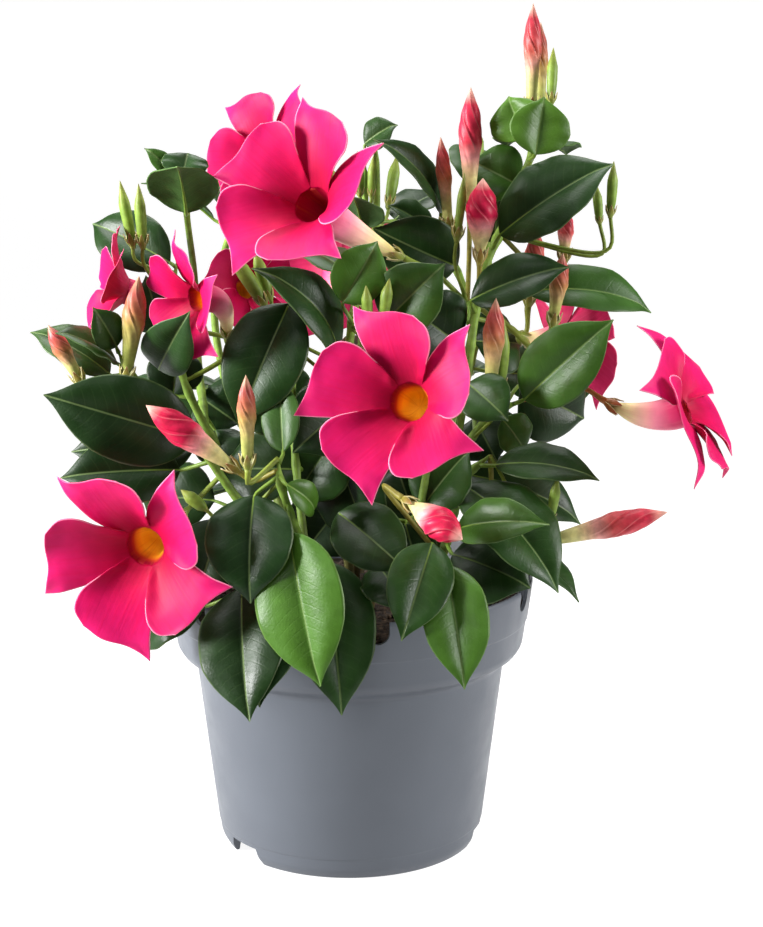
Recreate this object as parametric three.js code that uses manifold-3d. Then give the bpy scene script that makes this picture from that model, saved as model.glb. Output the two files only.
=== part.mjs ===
// Mandevilla in a moulded grower's pot: leafy stems, blooms and buds standing in soil.
// Millimetres, +Z up. The origin is the middle of the pot's underside; the plant's face looks along -Y.
import * as THREE from 'three';
import { mergeVertices } from 'three/addons/utils/BufferGeometryUtils.js';
import Module from 'manifold-3d';

const wasm = await Module();
wasm.setup();

// hand-set places, in millimetres; each stem starts in the soil
const STEMS = {
  tall: [
    [
      [23, 0, 95], [23, 0, 122], [37, -6, 143], [45, -12, 173], [50, -16, 201],
      [53, -18, 224], [56, -14, 246], [60, -8, 266], [68, -2, 285], [76, 0, 305],
      [82, -2, 321], [82, -2, 328],
    ],
    [[55, -15, 239], [52, 2, 258], [45, 13, 275], [41, 19, 289]],
  ],
  right: [
    [
      [29, -8, 95], [29, -8, 122], [41, -16, 143], [48, -20, 170], [53, -24, 191],
      [64, -28, 206], [77, -32, 213],
    ],
  ],
  low: [
    [[31, -16, 95], [31, -16, 122], [41, -30, 140], [47, -36, 164], [51, -32, 177], [63, -26, 187]],
  ],
  front: [
    [[10, -26, 95], [10, -26, 122], [21, -44, 139], [29, -50, 156], [33, -46, 176], [36, -40, 192]],
    [[29, -50, 156], [38, -66, 153], [42, -80, 152]],
  ],
  mid: [
    [
      [0, -4, 95], [0, -4, 122], [-2, -16, 155], [-3, -24, 194], [-1, -28, 226],
      [2, -26, 248], [5, -12, 268], [7, 0, 292], [7, 4, 316],
    ],
  ],
  left: [
    [
      [-13, -28, 95], [-13, -28, 122], [-17, -56, 147], [-24, -74, 171], [-28, -76, 186],
      [-29, -73, 195],
    ],
    [[-17, -58, 154], [-22, -50, 181], [-24, -42, 206], [-24, -40, 236], [-25, -43, 256]],
  ],
  wing: [
    [
      [-21, -12, 95], [-21, -12, 122], [-33, -34, 141], [-44, -44, 164], [-55, -46, 181],
      [-66, -46, 198], [-83, -42, 214], [-95, -38, 226], [-99, -44, 236],
    ],
    [[-33, -34, 141], [-38, -54, 142], [-44, -68, 136], [-45, -78, 136]],
  ],
  crown: [
    [
      [-13, 4, 95], [-13, 4, 122], [-32, -6, 143], [-50, -10, 172], [-65, -14, 198],
      [-74, -14, 219], [-79, -10, 241], [-79, -6, 259], [-77, -4, 271],
    ],
    [[-65, -10, 198], [-71, 20, 228], [-72, 24, 260], [-73, 4, 291], [-74, 6, 307]],
  ],
  back_right: [
    [[26, 22, 95], [26, 23, 122], [40, 38, 165], [56, 54, 210], [66, 60, 256], [62, 52, 296]],
  ],
  back_left: [
    [[-22, 24, 95], [-22, 25, 122], [-40, 40, 162], [-60, 54, 204], [-66, 58, 246], [-56, 48, 284]],
  ],
  back_mid: [
    [[2, 14, 95], [2, 14, 122], [2, 32, 180], [6, 40, 236], [12, 40, 286], [12, 34, 322]],
  ],
  back_low: [
    [[4, 38, 95], [4, 39, 122], [6, 62, 150], [8, 84, 166], [10, 104, 172]],
  ],
};
// stem, base, tip, width, azimuth and elevation of the face, arch (percent of length), fold (degrees)
const LEAVES = [
  ['tall', [67, -14, 284], [115, -22, 316], 36, -5, 40, 6, 10],
  ['tall', [82, -15, 319], [86, -12, 344], 28, 9, -5, -4, 8],
  ['tall', [77, -7, 325], [70, -2, 344], 26, -32, 14, -6, 8],
  ['tall', [85, -2, 321], [100, 30, 318], 26, 1, 80, 5, 10],
  ['tall', [81, -2, 324], [71, 25, 322], 24, 0, 80, 5, 10],
  ['tall', [77, 7, 304], [55, 16, 315], 28, 0, 10, 5, 8],
  ['tall', [66, 6, 278], [70, 20, 310], 24, -28, 13, 5, 8],
  ['tall', [54, -23, 256], [96, -32, 272], 25, 5, 40, 7, 10],
  ['tall', [42, 14, 292], [12, -11, 326], 22, 5, 50, 10, 12],
  ['tall', [39, 13, 283], [18, 2, 296], 20, 0, 50, 3, 10],
  ['tall', [49, 5, 268], [11, -4, 286], 34, -32, 11, 6, 10],
  ['tall', [80, 0, 257], [139, 12, 247], 26, -19, 42, 13, 12],
  ['right', [77, -37, 214], [113, -52, 251], 32, -5, 18, 5, 12],
  ['right', [79, 8, 213], [110, 20, 195], 40, 0, 8, 5, 5],
  ['right', [69, -13, 201], [80, -10, 185], 22, 37, 13, 5, 8],
  ['right', [52, -42, 222], [69, -54, 208], 24, -11, 31, 8, 10],
  ['low', [65, -33, 184], [110, -44, 180], 23, 0, 55, 10, 10],
  ['low', [52, -11, 175], [107, -4, 151], 32, 17, 50, 10, 10],
  ['low', [51, -39, 176], [91, -69, 136], 38, 24, 33, 12, 10],
  ['low', [47, -59, 161], [84, -86, 170], 22, 4, 33, 10, 12],
  ['low', [46, -44, 146], [79, -62, 136], 42, 0, 35, 8, 6],
  ['front', [42, -82, 151], [49, -108, 105], 29, 5, 10, 5, 12],
  ['front', [-4, -62, 169], [26, -84, 148], 30, 0, 30, 8, 8],
  ['front', [25, -58, 163], [31, -55, 139], 22, 0, 20, 8, 8],
  ['front', [13, -66, 147], [26, -90, 133], 26, 0, 30, 8, 8],
  ['front', [36, -76, 159], [23, -107, 126], 28, 0, 18, 6, 8],
  ['mid', [-2, -49, 258], [13, -46, 284], 24, 9, 13, 5, 10],
  ['mid', [16, -44, 249], [41, -54, 275], 30, 10, 22, 6, 10],
  ['mid', [-4, -38, 234], [-39, -55, 274], 28, 18, 48, 17, 10],
  ['mid', [2, -36, 214], [-23, -58, 195], 36, 0, 15, 5, 8],
  ['tall', [49, -12, 235], [24, -20, 254], 36, 0, 15, 5, 8],
  ['left', [-24, -89, 167], [-11, -114, 108], 40, -16, 6, 2, 8],
  ['left', [-9, -68, 149], [-2, -100, 91], 36, 5, 18, 8, 8],
  ['left', [-39, -77, 180], [-40, -98, 139], 38, -7, 20, 11, 10],
  ['left', [-25, -44, 257], [-47, -58, 206], 36, -5, 16, 6, 8],
  ['left', [-27, -69, 197], [-29, -53, 226], 18, -19, 9, 1, 6],
  ['left', [-25, -83, 186], [-14, -68, 170], 14, 7, 35, 16, 8],
  ['wing', [-66, -50, 199], [-128, -66, 221], 38, 0, 12, 6, 8],
  ['wing', [-69, -30, 190], [-124, -26, 189], 34, 0, 30, 6, 8],
  ['wing', [-74, -39, 183], [-125, -49, 182], 32, 0, 28, 6, 8],
  ['wing', [-100, -41, 231], [-123, -57, 247], 24, -11, 64, 6, 8],
  ['wing', [-106, -23, 223], [-141, -19, 242], 26, 0, 62, 8, 8],
  ['wing', [-99, -49, 239], [-107, -58, 257], 16, 9, 30, 6, 8],
  ['wing', [-45, -73, 139], [-40, -113, 93], 38, -10, 10, 6, 8],
  ['wing', [-34, -64, 137], [-36, -108, 98], 34, -3, -18, 5, 8],
  ['wing', [-62, -60, 127], [-91, -50, 105], 29, -32, 41, 22, 8],
  ['crown', [-81, 3, 270], [-119, 25, 286], 28, -22, 32, 8, 8],
  ['crown', [-72, -8, 293], [-72, -44, 316], 32, 0, 60, 6, 5],
  ['crown', [-83, -11, 240], [-89, -22, 266], 24, -6, 32, 6, 8],
  ['crown', [-83, -34, 227], [-66, -69, 256], 24, 10, 20, 6, 8],
  ['crown', [-79, -13, 212], [-77, -6, 234], 26, 0, 10, 6, 8],
  ['mid', [6, -4, 286], [2, -24, 302], 24, 0, 60, 5, 8],
  ['mid', [7, 4, 323], [21, 0, 332], 16, 0, 35, 5, 8],
  ['crown', [-78, 14, 307], [-92, 12, 321], 10, 0, 41, 5, 8],
  ['crown', [-75, 8, 308], [-73, 16, 319], 22, 0, 20, 6, 8],
  ['tall', [57, 5, 234], [80, 25, 230], 34, -16, 22, 1, 8],
  ['mid', [-6, -29, 195], [-25, -29, 167], 36, -4, 28, 4, 8],
  ['mid', [-4, -28, 187], [12, -33, 147], 38, -34, 6, 6, 8],
  ['front', [32, -47, 167], [53, -40, 192], 30, -28, 21, 5, 8],
  ['left', [-21, -30, 204], [-44, -26, 221], 36, 0, 25, 5, 8],
  ['left', [-21, -34, 182], [-58, -23, 179], 34, 0, 30, 7, 8],
  ['wing', [-61, -16, 164], [-96, -4, 162], 34, 0, 35, 6, 8],
  ['crown', [-69, 2, 198], [-108, 20, 195], 34, 0, 30, 6, 8],
  ['low', [54, 0, 152], [99, 16, 130], 36, 0, 40, 8, 8],
  ['wing', [-56, -40, 161], [-66, -62, 128], 32, 0, 30, 6, 8],
  ['crown', [-61, -8, 195], [-55, -20, 179], 24, 0, 30, 6, 8],
  ['mid', [-3, -14, 162], [-21, -26, 141], 36, 0, 25, 6, 8],
  ['crown', [-69, 6, 208], [-51, 2, 196], 34, 0, 15, 5, 8],
  ['right', [57, 1, 199], [67, -10, 181], 34, -6, 21, 5, 8],
  ['front', [31, -28, 154], [21, -16, 181], 36, 0, 15, 5, 8],
  ['back_right', [47, 42, 161], [88, 66, 139], 34, 120, 50, 8, 10],
  ['back_right', [70, 58, 211], [122, 80, 200], 34, 66, 14, 8, 10],
  ['back_right', [59, 63, 210], [74, 116, 201], 36, 165, 50, 8, 10],
  ['back_right', [71, 54, 292], [107, 54, 309], 26, 90, 50, 8, 10],
  ['back_right', [61, 62, 299], [54, 91, 320], 26, -170, 50, 8, 10],
  ['back_left', [-47, 43, 158], [-90, 63, 136], 34, -115, 50, 8, 10],
  ['back_left', [-42, 49, 160], [-45, 99, 140], 36, -175, 50, 9, 10],
  ['back_left', [-70, 52, 204], [-123, 49, 199], 34, -85, 50, 8, 10],
  ['back_left', [-62, 63, 202], [-77, 116, 193], 36, -165, 50, 8, 10],
  ['back_left', [-65, 52, 286], [-98, 46, 304], 26, -81, 55, 7, 10],
  ['back_left', [-55, 58, 287], [-58, 90, 309], 26, 183, 52, 7, 10],
  ['back_mid', [6, 47, 221], [19, 95, 217], 34, 165, 50, 8, 10],
  ['back_mid', [-1, 49, 259], [-24, 86, 266], 31, -145, 50, 8, 10],
  ['back_mid', [21, 47, 286], [46, 82, 297], 28, 140, 50, 5, 10],
  ['back_low', [14, 63, 146], [58, 81, 117], 34, 100, 50, 8, 10],
  ['back_low', [14, 90, 161], [49, 112, 132], 34, 125, 50, 8, 10],
  ['back_low', [2, 88, 161], [-32, 112, 132], 34, -125, 50, 8, 10],
  ['back_low', [10, 110, 166], [10, 147, 129], 36, 180, 50, 8, 10],
  ['right', [60, -9, 146], [105, -25, 120], 36, 73, 61, 8, 10],
  ['crown', [-52, -1, 146], [-98, -5, 118], 36, -85, 50, 8, 10],
];
// name, stem, where the stalk leaves it, foot, throat,
// then azimuth, elevation, roll, cup (degrees), size (percent)
const BLOOMS = [
  ['front', 'front', [36, -40, 191], [33, -52, 209], [21, -88, 222], -20, 16, -24, 0, 100],
  ['low', 'wing', [-55, -46, 181], [-72, -44, 165], [-87, -76, 156], -19, -6, -11, 9, 105],
  ['crest', 'tall', [51, -6, 256], [24, -16, 274], [-15, -42, 299], -33, 28, -43, 17, 99],
  ['crest_back', 'mid', [7, 4, 311], [-6, 36, 306], [-36, 24, 316], -32, 20, 70, 3, 80],
  ['side', 'right', [77, -32, 213], [113, -36, 213], [146, -44, 211], 69, 28, 146, -10, 86],
  ['left', 'crown', [-74, -14, 219], [-54, -18, 239], [-65, -44, 259], -52, -6, 99, 4, 70],
  ['left_back', 'crown', [-70, 20, 237], [-37, 28, 236], [-47, 8, 258], 32, 20, -38, 0, 62],
  ['far_left', 'crown', [-80, -6, 251], [-82, 2, 250], [-99, -14, 259], -76, 16, 113, 12, 66],
  ['back_right', 'tall', [56, -14, 246], [78, 10, 236], [100, 34, 231], 120, 10, 30, 0, 84],
  ['back_top', 'back_mid', [10, 40, 262], [4, 56, 246], [-6, 86, 256], 190, 12, 10, 4, 98],
];
// name, stem, where the stalk leaves it, foot, tip, width
const BUDS = [
  ['top_a', 'tall', [82, -2, 327], [81, -2, 337], [81, -2, 384], 8],
  ['top_b', 'tall', [81, -2, 317], [86, 8, 335], [85, 5, 376], 6.5],
  ['peak', 'tall', [53, -6, 254], [54, -2, 293], [54, -2, 348], 10.5],
  ['slim', 'tall', [48, 6, 267], [45, 4, 284], [41, 4, 326], 7],
  ['fat', 'tall', [56, -12, 253], [58, -16, 272], [59, -18, 309], 14],
  ['twin', 'right', [60, -26, 203], [62, -40, 215], [64, -40, 259], 9.5],
  ['right_a', 'tall', [76, 8, 252], [82, 14, 249], [86, 16, 284], 9.5],
  ['right_b', 'tall', [76, -8, 253], [91, -12, 243], [95, -14, 276], 8.5],
  ['right_c', 'tall', [68, -4, 283], [97, 4, 270], [98, 4, 294], 7.5],
  ['salmon', 'left', [-29, -74, 189], [-46, -70, 189], [-84, -74, 218], 13],
  ['upright', 'left', [-29, -73, 194], [-41, -84, 193], [-41, -88, 233], 8],
  ['low_red', 'front', [38, -66, 153], [24, -76, 178], [48, -98, 166], 14],
  ['right_low', 'low', [63, -26, 187], [87, -22, 146], [143, -26, 161], 11.5],
  ['far_a', 'wing', [-95, -38, 226], [-95, -52, 225], [-88, -54, 270], 10],
  ['far_b', 'wing', [-83, -42, 214], [-116, -38, 221], [-130, -38, 247], 8],
];
// stem, where the twig leaves it, foot, tip, width
const GREEN_BUDS = [
  ['right', [54, -26, 193], [66, -34, 217], [68, -32, 249], 7.5],
  ['low', [63, -26, 187], [89, -40, 160], [92, -42, 181], 5],
  ['crown', [-76, -6, 265], [-97, -2, 278], [-102, -2, 307], 5.5],
  ['crown', [-79, -6, 254], [-92, -6, 278], [-93, -8, 306], 5.5],
  ['mid', [-1, -28, 226], [-36, -34, 255], [-51, -34, 279], 7],
  ['mid', [-2, -27, 216], [-34, -28, 257], [-41, -28, 279], 6],
  ['tall', [78, -2, 311], [89, -8, 341], [90, -4, 365], 5],
  ['tall', [76, -4, 281], [112, -4, 288], [110, -4, 306], 4.5],
  ['tall', [76, -4, 281], [116, -10, 292], [117, -10, 316], 5],
  ['tall', [53, -4, 254], [48, -14, 282], [51, -15, 311], 4.2],
  ['mid', [6, 0, 293], [5, -2, 300], [4, -2, 320], 5],
  ['mid', [7, -2, 286], [10, -4, 300], [11, -4, 318], 4.5],
  ['mid', [7, -26, 243], [9, -52, 250], [8, -54, 266], 5],
  ['mid', [1, -26, 233], [15, -52, 251], [18, -54, 269], 5.5],
  ['wing', [-91, -40, 221], [-112, -38, 200], [-125, -38, 213], 4],
  ['left', [-28, -78, 185], [-60, -66, 171], [-71, -66, 180], 6],
  ['back_mid', [12, 36, 280], [18, 50, 292], [22, 56, 316], 6],
  ['back_left', [-56, 48, 284], [-58, 50, 296], [-62, 54, 322], 7],
  ['back_right', [62, 52, 296], [60, 56, 306], [60, 62, 330], 7],
];

// ---- driving dimensions ----
const GAP = 0.35; // clearance kept between two pieces that touch
const SEGMENTS = 24; // facets round the pot and the soil
// outside of the pot from the middle of its underside up to the rim: radius, height
const POT_OUTSIDE = [
  [0, 0], [42, 0], // pad the pot stands on
  [44.5, 9], [57.4, 9], // drain channel
  [57.4, 0], [59, 0], // foot ring
  [61.4, 4], [63.2, 17], // rounded edge above the foot
  [71.8, 88.5], // body
  [78.5, 92.4], [80.5, 96], // underside of the band
  [82.2, 107.5], [82.6, 107.9], // fine step round the band
  [85, 125], [84.5, 126], // rim
];
// inside of the wall from the rim down to the middle of the floor
const POT_INSIDE = [
  [83.4, 126], [78.9, 96.8], [70.2, 90.1], [61.6, 17], [57, 10.6], [43.3, 10.6], [40.8, 1.6], [0, 1.6],
];
const RIM = { radius: 85, height: 126 };
const NOTCH = { count: 6, firstAngle: 9, width: 10, depth: 10 }; // round-bottomed notches in the lip
const RUN_OFF = { angles: [-52, 77, 192], width: 24, height: 8, lean: 3, radius: 60 }; // gaps in the foot
const DRAIN = { count: 6, radius: 4, circle: 51, height: 9 };
const CUT_LENGTH = 12; // reach of a cutter through the wall, half of it inside
const SOIL = { edgeHeight: 113, crownHeight: 118, crumble: 6, bevel: 3, holeRadius: 4, holeDepth: 24 };

const LEAF_THICKNESS = 0.7;
const LEAF_TIP = 0.5; // half-width of the drip tip
const LEAF_STATIONS = [0.12, 0.38, 0.72, 1];
const SMALL_LEAF_STATIONS = [0.2, 0.62, 1];
const SMALL_LEAF = 52; // leaves shorter than this take the coarser stations
// half-width of a blade along its midrib, as a share of its widest place
const LEAF_OUTLINE = [
  [0, 0.05], [0.04, 0.34], [0.14, 0.7], [0.28, 0.93], [0.42, 1],
  [0.6, 0.92], [0.74, 0.72], [0.85, 0.42], [0.92, 0.19], [1, 0.03],
];
const STEM_STEP = 28; // length of one straight facet of a stem
const LONG_PETIOLE = 11; // a longer petiole has a row of its own at the leaf's foot
const PETIOLE = { halfWidth: 0.75, thickness: 1.3, aim: 6 };
const MAIN_STEM = { thick: 2.6, thin: 1.9 };
const SIDE_STEM = { thick: 2.2, thin: 1.7 };

// one petal in the plane of the bloom, across (x) and out from the throat (y), from the throat to the edge
const PETAL_BULGE_SIDE = [[-5.1, 7], [-8.2, 11.3], [-14.6, 19.6], [-10.5, 32]];
const PETAL_CUSP_SIDE = [[5.1, 7], [8.2, 11.3], [14, 20], [18.6, 40]];
const PETAL_CROWN = [1.6, 2.7, 3, 0.5]; // how far the middle of each row stands out past its ends
const PETAL_TURN = 25; // degrees from a petal's middle to its cusp
const PETAL_COLUMNS = 3;
const FUSED_ROWS = 2; // rows that all petals share, before the lobes part
const PETAL_THICKNESS = 0.75;
const PETALS = 5;
const FLARE = [0.75, -0.0135]; // rise of the bloom's face with the distance from the throat
const PINWHEEL = 3.2; // how far a petal's bulge stands above the next petal's straight edge

// ---- small helpers ----
const radians = THREE.MathUtils.degToRad;
const UP = new THREE.Vector3(0, 0, 1);

function vec(p) {
  return new THREE.Vector3(p[0], p[1], p[2]);
}

// unit vector that looks azimuth degrees round from -Y towards +X and elevation degrees up
function facing(azimuth, elevation) {
  const a = radians(azimuth);
  const e = radians(elevation);
  return new THREE.Vector3(Math.sin(a) * Math.cos(e), -Math.cos(a) * Math.cos(e), Math.sin(e));
}

// straight-line reading of a table of [place, value] pairs
function reading(table, at) {
  for (let i = 1; i < table.length; i += 1) {
    const [x0, y0] = table[i - 1];
    const [x1, y1] = table[i];
    if (at <= x1) return y0 + ((y1 - y0) * (at - x0)) / (x1 - x0);
  }
  return table[table.length - 1][1];
}

function indexed(points, faces) {
  const geometry = new THREE.BufferGeometry();
  const flat = points.flatMap((p) => [p.x, p.y, p.z]);
  geometry.setAttribute('position', new THREE.Float32BufferAttribute(flat, 3));
  geometry.setIndex(faces);
  return geometry;
}

// skin between two rings of point numbers; the counts are equal, or one divides the other
function stitch(faces, lower, upper) {
  const count = Math.max(lower.length, upper.length);
  const pick = (corners, k) => {
    const place = Math.round(((k % count) * corners.length) / count);
    return corners[place % corners.length];
  };
  for (let k = 0; k < count; k += 1) {
    const [a, b, c, d] = [pick(lower, k), pick(lower, k + 1), pick(upper, k), pick(upper, k + 1)];
    if (a !== b) faces.push(a, b, d);
    if (c !== d) faces.push(a, d, c);
  }
}

// closed skin over a row of rings; a ring of one point is a tip
function loft(rings) {
  const points = rings.flat();
  const faces = [];
  let next = 0;
  const numbers = rings.map((corners) => corners.map(() => next++));
  for (let i = 1; i < numbers.length; i += 1) stitch(faces, numbers[i - 1], numbers[i]);
  const [first, last] = [numbers[0], numbers[numbers.length - 1]];
  for (let k = 2; k < first.length; k += 1) faces.push(first[0], first[k], first[k - 1]);
  for (let k = 2; k < last.length; k += 1) faces.push(last[0], last[k - 1], last[k]);
  return indexed(points, faces);
}

// ring of points round a centre, square to an axis
function ring(centre, axis, radius, sides, start = 0) {
  const reference = Math.abs(axis.z) > 0.95 ? new THREE.Vector3(1, 0, 0) : UP;
  const side = new THREE.Vector3().crossVectors(reference, axis).normalize();
  const other = new THREE.Vector3().crossVectors(axis, side);
  const points = [];
  for (let k = 0; k < sides; k += 1) {
    const angle = start + (2 * Math.PI * k) / sides;
    const out = side.clone().multiplyScalar(Math.cos(angle)).addScaledVector(other, Math.sin(angle));
    points.push(centre.clone().addScaledVector(out, radius));
  }
  return points;
}

// round stem along a smooth line, thinning from one end to the other
function stalkRings(points, thick, thin, sides, step) {
  const curve = new THREE.CatmullRomCurve3(points, false, 'centripetal');
  const steps = Math.max(1, Math.round(curve.getLength() / step));
  const frames = curve.computeFrenetFrames(steps, false);
  const rings = [];
  for (let i = 0; i <= steps; i += 1) {
    const at = curve.getPointAt(i / steps);
    const radius = thick + ((thin - thick) * i) / steps;
    const corners = [];
    for (let k = 0; k < sides; k += 1) {
      const angle = (2 * Math.PI * k) / sides;
      corners.push(
        at
          .clone()
          .addScaledVector(frames.normals[i], radius * Math.cos(angle))
          .addScaledVector(frames.binormals[i], radius * Math.sin(angle)),
      );
    }
    rings.push(corners);
  }
  return rings;
}

function stalk(points, thick, thin) {
  return loft(stalkRings(points, thick, thin, 5, STEM_STEP));
}

// a sheet given its thickness: both faces keep the same triangles, and the rim closes between them
function thickened(front, triangles, thickness, open = new Set()) {
  const normals = front.map(() => new THREE.Vector3());
  const edges = new Map();
  for (const [a, b, c] of triangles) {
    const across = front[b].clone().sub(front[a]);
    const normal = across.cross(front[c].clone().sub(front[a]));
    for (const k of [a, b, c]) normals[k].add(normal);
    for (const [p, q] of [[a, b], [b, c], [c, a]]) edges.set(`${p},${q}`, [p, q]);
  }
  const depth = (k) => (Array.isArray(thickness) ? thickness[k] : thickness);
  const back = front.map((p, k) => p.clone().addScaledVector(normals[k].normalize(), -depth(k)));
  const shift = front.length;
  const faces = [];
  for (const [a, b, c] of triangles) faces.push(a, b, c, a + shift, c + shift, b + shift);
  for (const [p, q] of edges.values()) {
    const inside = edges.has(`${q},${p}`) || (open.has(p) && open.has(q));
    if (!inside) faces.push(q, p, p + shift, q, p + shift, q + shift);
  }
  return { points: [...front, ...back], faces };
}

function solid(geometry) {
  const bare = geometry.clone();
  bare.deleteAttribute('normal');
  bare.deleteAttribute('uv');
  const merged = mergeVertices(bare, 1e-4);
  const mesh = new wasm.Mesh({
    numProp: 3,
    vertProperties: new Float32Array(merged.attributes.position.array),
    triVerts: new Uint32Array(merged.index.array),
  });
  return new wasm.Manifold(mesh);
}

function joined(solids) {
  let all = solids[0];
  for (const next of solids.slice(1)) all = all.add(next);
  return all;
}

function geometryOf(body) {
  const mesh = body.getMesh();
  const geometry = new THREE.BufferGeometry();
  geometry.setAttribute('position', new THREE.BufferAttribute(new Float32Array(mesh.vertProperties), 3));
  geometry.setIndex(new THREE.BufferAttribute(new Uint32Array(mesh.triVerts), 1));
  return geometry;
}

// ---- leaves ----
function leafFrame([, base, tip, width, azimuth, elevation, arch, fold]) {
  const from = vec(base);
  const to = vec(tip);
  const along = to.clone().sub(from);
  const length = along.length();
  along.normalize();
  const up = facing(azimuth, elevation);
  up.addScaledVector(along, -up.dot(along)).normalize();
  const side = new THREE.Vector3().crossVectors(along, up);
  const bow = from.clone().add(to).multiplyScalar(0.5).addScaledVector(up, (2 * arch * length) / 100);
  return { from, to, bow, length, along, up, side, half: width / 2, fold: radians(fold) };
}

// a leaf and its petiole in one blade, from the stem to the drip tip
function leaf(row, lines) {
  const f = leafFrame(row);
  const stations = f.length < SMALL_LEAF ? SMALL_LEAF_STATIONS : LEAF_STATIONS;
  const midrib = new THREE.QuadraticBezierCurve3(f.from, f.bow, f.to);
  const line = (middle, half) => {
    const reach = half * Math.cos(f.fold);
    const rise = half * Math.sin(f.fold);
    const left = middle.clone().addScaledVector(f.side, reach).addScaledVector(f.up, rise);
    const right = middle.clone().addScaledVector(f.side, -reach).addScaledVector(f.up, rise);
    return [right, middle, left];
  };
  const node = nearestOn(lines, f.from.clone().addScaledVector(f.along, -PETIOLE.aim));
  const seat = node.clone().addScaledVector(f.up, PETIOLE.thickness / 2);
  const grid = [line(seat, PETIOLE.halfWidth)];
  if (node.distanceTo(f.from) > LONG_PETIOLE) grid.push(line(f.from, PETIOLE.halfWidth));
  const stalkRows = grid.length;
  for (const u of stations) {
    const half = Math.max(reading(LEAF_OUTLINE, u) * f.half, LEAF_TIP);
    grid.push(line(midrib.getPoint(u), half));
  }
  const triangles = [];
  for (let i = 0; i + 1 < grid.length; i += 1) {
    for (let j = 3 * i; j < 3 * i + 2; j += 1) triangles.push([j, j + 1, j + 4], [j, j + 4, j + 3]);
  }
  const rowThickness = (i) => (i < stalkRows ? PETIOLE.thickness : LEAF_THICKNESS);
  const thickness = grid.flatMap((_, i) => Array(3).fill(rowThickness(i)));
  const sheet = thickened(grid.flat(), triangles, thickness);
  return indexed(sheet.points, sheet.faces);
}

// ---- stems ----
// nearest place on the middle lines of a stem's branches
function nearestOn(lines, point) {
  const found = lines.map((line) => line.closestPointToPoint(point, true, new THREE.Vector3()));
  found.sort((a, b) => a.distanceTo(point) - b.distanceTo(point));
  return found[0];
}

function linesOf(points) {
  const curve = new THREE.CatmullRomCurve3(points, false, 'centripetal');
  const corners = curve.getSpacedPoints(Math.max(1, Math.round(curve.getLength() / STEM_STEP)));
  return corners.slice(1).map((end, i) => new THREE.Line3(corners[i], end));
}

// points of a stem's branches; a side branch starts on the middle line of the main one
function branchesOf(name) {
  const [main, ...others] = STEMS[name].map((points) => points.map(vec));
  const lines = linesOf(main);
  return [main, ...others.map(([start, ...rest]) => [nearestOn(lines, start), ...rest])];
}

function stemLines(name) {
  return branchesOf(name).flatMap(linesOf);
}

// ---- sepals, buds and blooms ----
const SEPALS = 5;
const SEPAL_CUP = { foot: -1.6, notch: 4, tip: 6.5, outer: 3.8, inner: 3 };
const PEDICEL = { thick: 1.2, thin: 1.3, facet: 34 };
const TWIG = { thick: 0.9, thin: 0.8, facet: 30 };
const SEAT = 0.6; // height of a corolla's lowest point above the floor of its cup
const FOOT_PROFILE = [[3, 1], [6.5, 2.4]]; // foot of a corolla inside its sepals: height, radius
// a bud's shares of its length and of its width
const BUD_PROFILE = [[0.38, 0.36], [0.6, 0.5], [0.78, 0.4], [0.9, 0.2]];
const BUD_FOOT = 0.3; // widest foot of a bud, as a share of its width
const BUD_TWIST = 0.35;
const TUBE_PROFILE = [[0.32, 4.8], [0.55, 6.8], [0.82, 8.6]]; // share of the tube's length, radius
const LINING = { share: 0.58, radius: 5.2, bottom: 0.38 }; // hollow of the throat
const LOBE_START = 8; // distance from the throat's middle where the face begins to rise

// a stalk that opens into a cup of pointed sepals round the foot of a bud or bloom
function pedicel(attach, base, axis) {
  const foot = base.clone().addScaledVector(axis, SEPAL_CUP.foot);
  const before = base.clone().addScaledVector(axis, -0.4 * base.distanceTo(attach));
  const rings = stalkRings([attach, before, foot], PEDICEL.thick, PEDICEL.thin, SEPALS, PEDICEL.facet);
  const from = rings[rings.length - 1][0].clone().sub(foot);
  const other = new THREE.Vector3().crossVectors(axis, from).normalize();
  const side = from.addScaledVector(axis, -from.dot(axis)).normalize();
  const heights = [SEPAL_CUP.tip, SEPAL_CUP.notch];
  const zigzag = (radius) =>
    Array.from({ length: 2 * SEPALS }, (_, k) => {
      const angle = (Math.PI * k) / SEPALS;
      return base
        .clone()
        .addScaledVector(side, radius * Math.cos(angle))
        .addScaledVector(other, radius * Math.sin(angle))
        .addScaledVector(axis, heights[k % 2]);
    });
  return loft([...rings, zigzag(SEPAL_CUP.outer), zigzag(SEPAL_CUP.inner), [base.clone()]]);
}

// furled corolla: a thin foot inside the sepals, then a swelling that twists a little to its point
function budRings(base, tip, width) {
  const axis = tip.clone().sub(base);
  const length = axis.length();
  axis.normalize();
  const at = (height) => base.clone().addScaledVector(axis, height);
  const rings = FOOT_PROFILE.map(([height, radius]) => {
    const girth = Math.min(radius, BUD_FOOT * width);
    return ring(at(height), axis, girth, PETALS);
  });
  BUD_PROFILE.forEach(([share, girth], i) => {
    rings.push(ring(at(share * length), axis, girth * width, PETALS, BUD_TWIST * i));
  });
  return [[at(SEAT)], ...rings, [tip.clone()]];
}

function bloomFrame([, , , base, throat, azimuth, elevation, roll, cup, scale]) {
  const normal = facing(azimuth, elevation);
  const up = UP.clone().addScaledVector(normal, -normal.z).normalize();
  const right = new THREE.Vector3().crossVectors(up, normal);
  const [foot, mouth] = [vec(base), vec(throat)];
  const bend = mouth.clone().addScaledVector(normal, -0.5 * foot.distanceTo(mouth));
  const tube = new THREE.QuadraticBezierCurve3(foot, bend, mouth);
  return { normal, up, right, mouth, tube, roll, cup: Math.tan(radians(cup)), size: scale / 100 };
}

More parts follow.
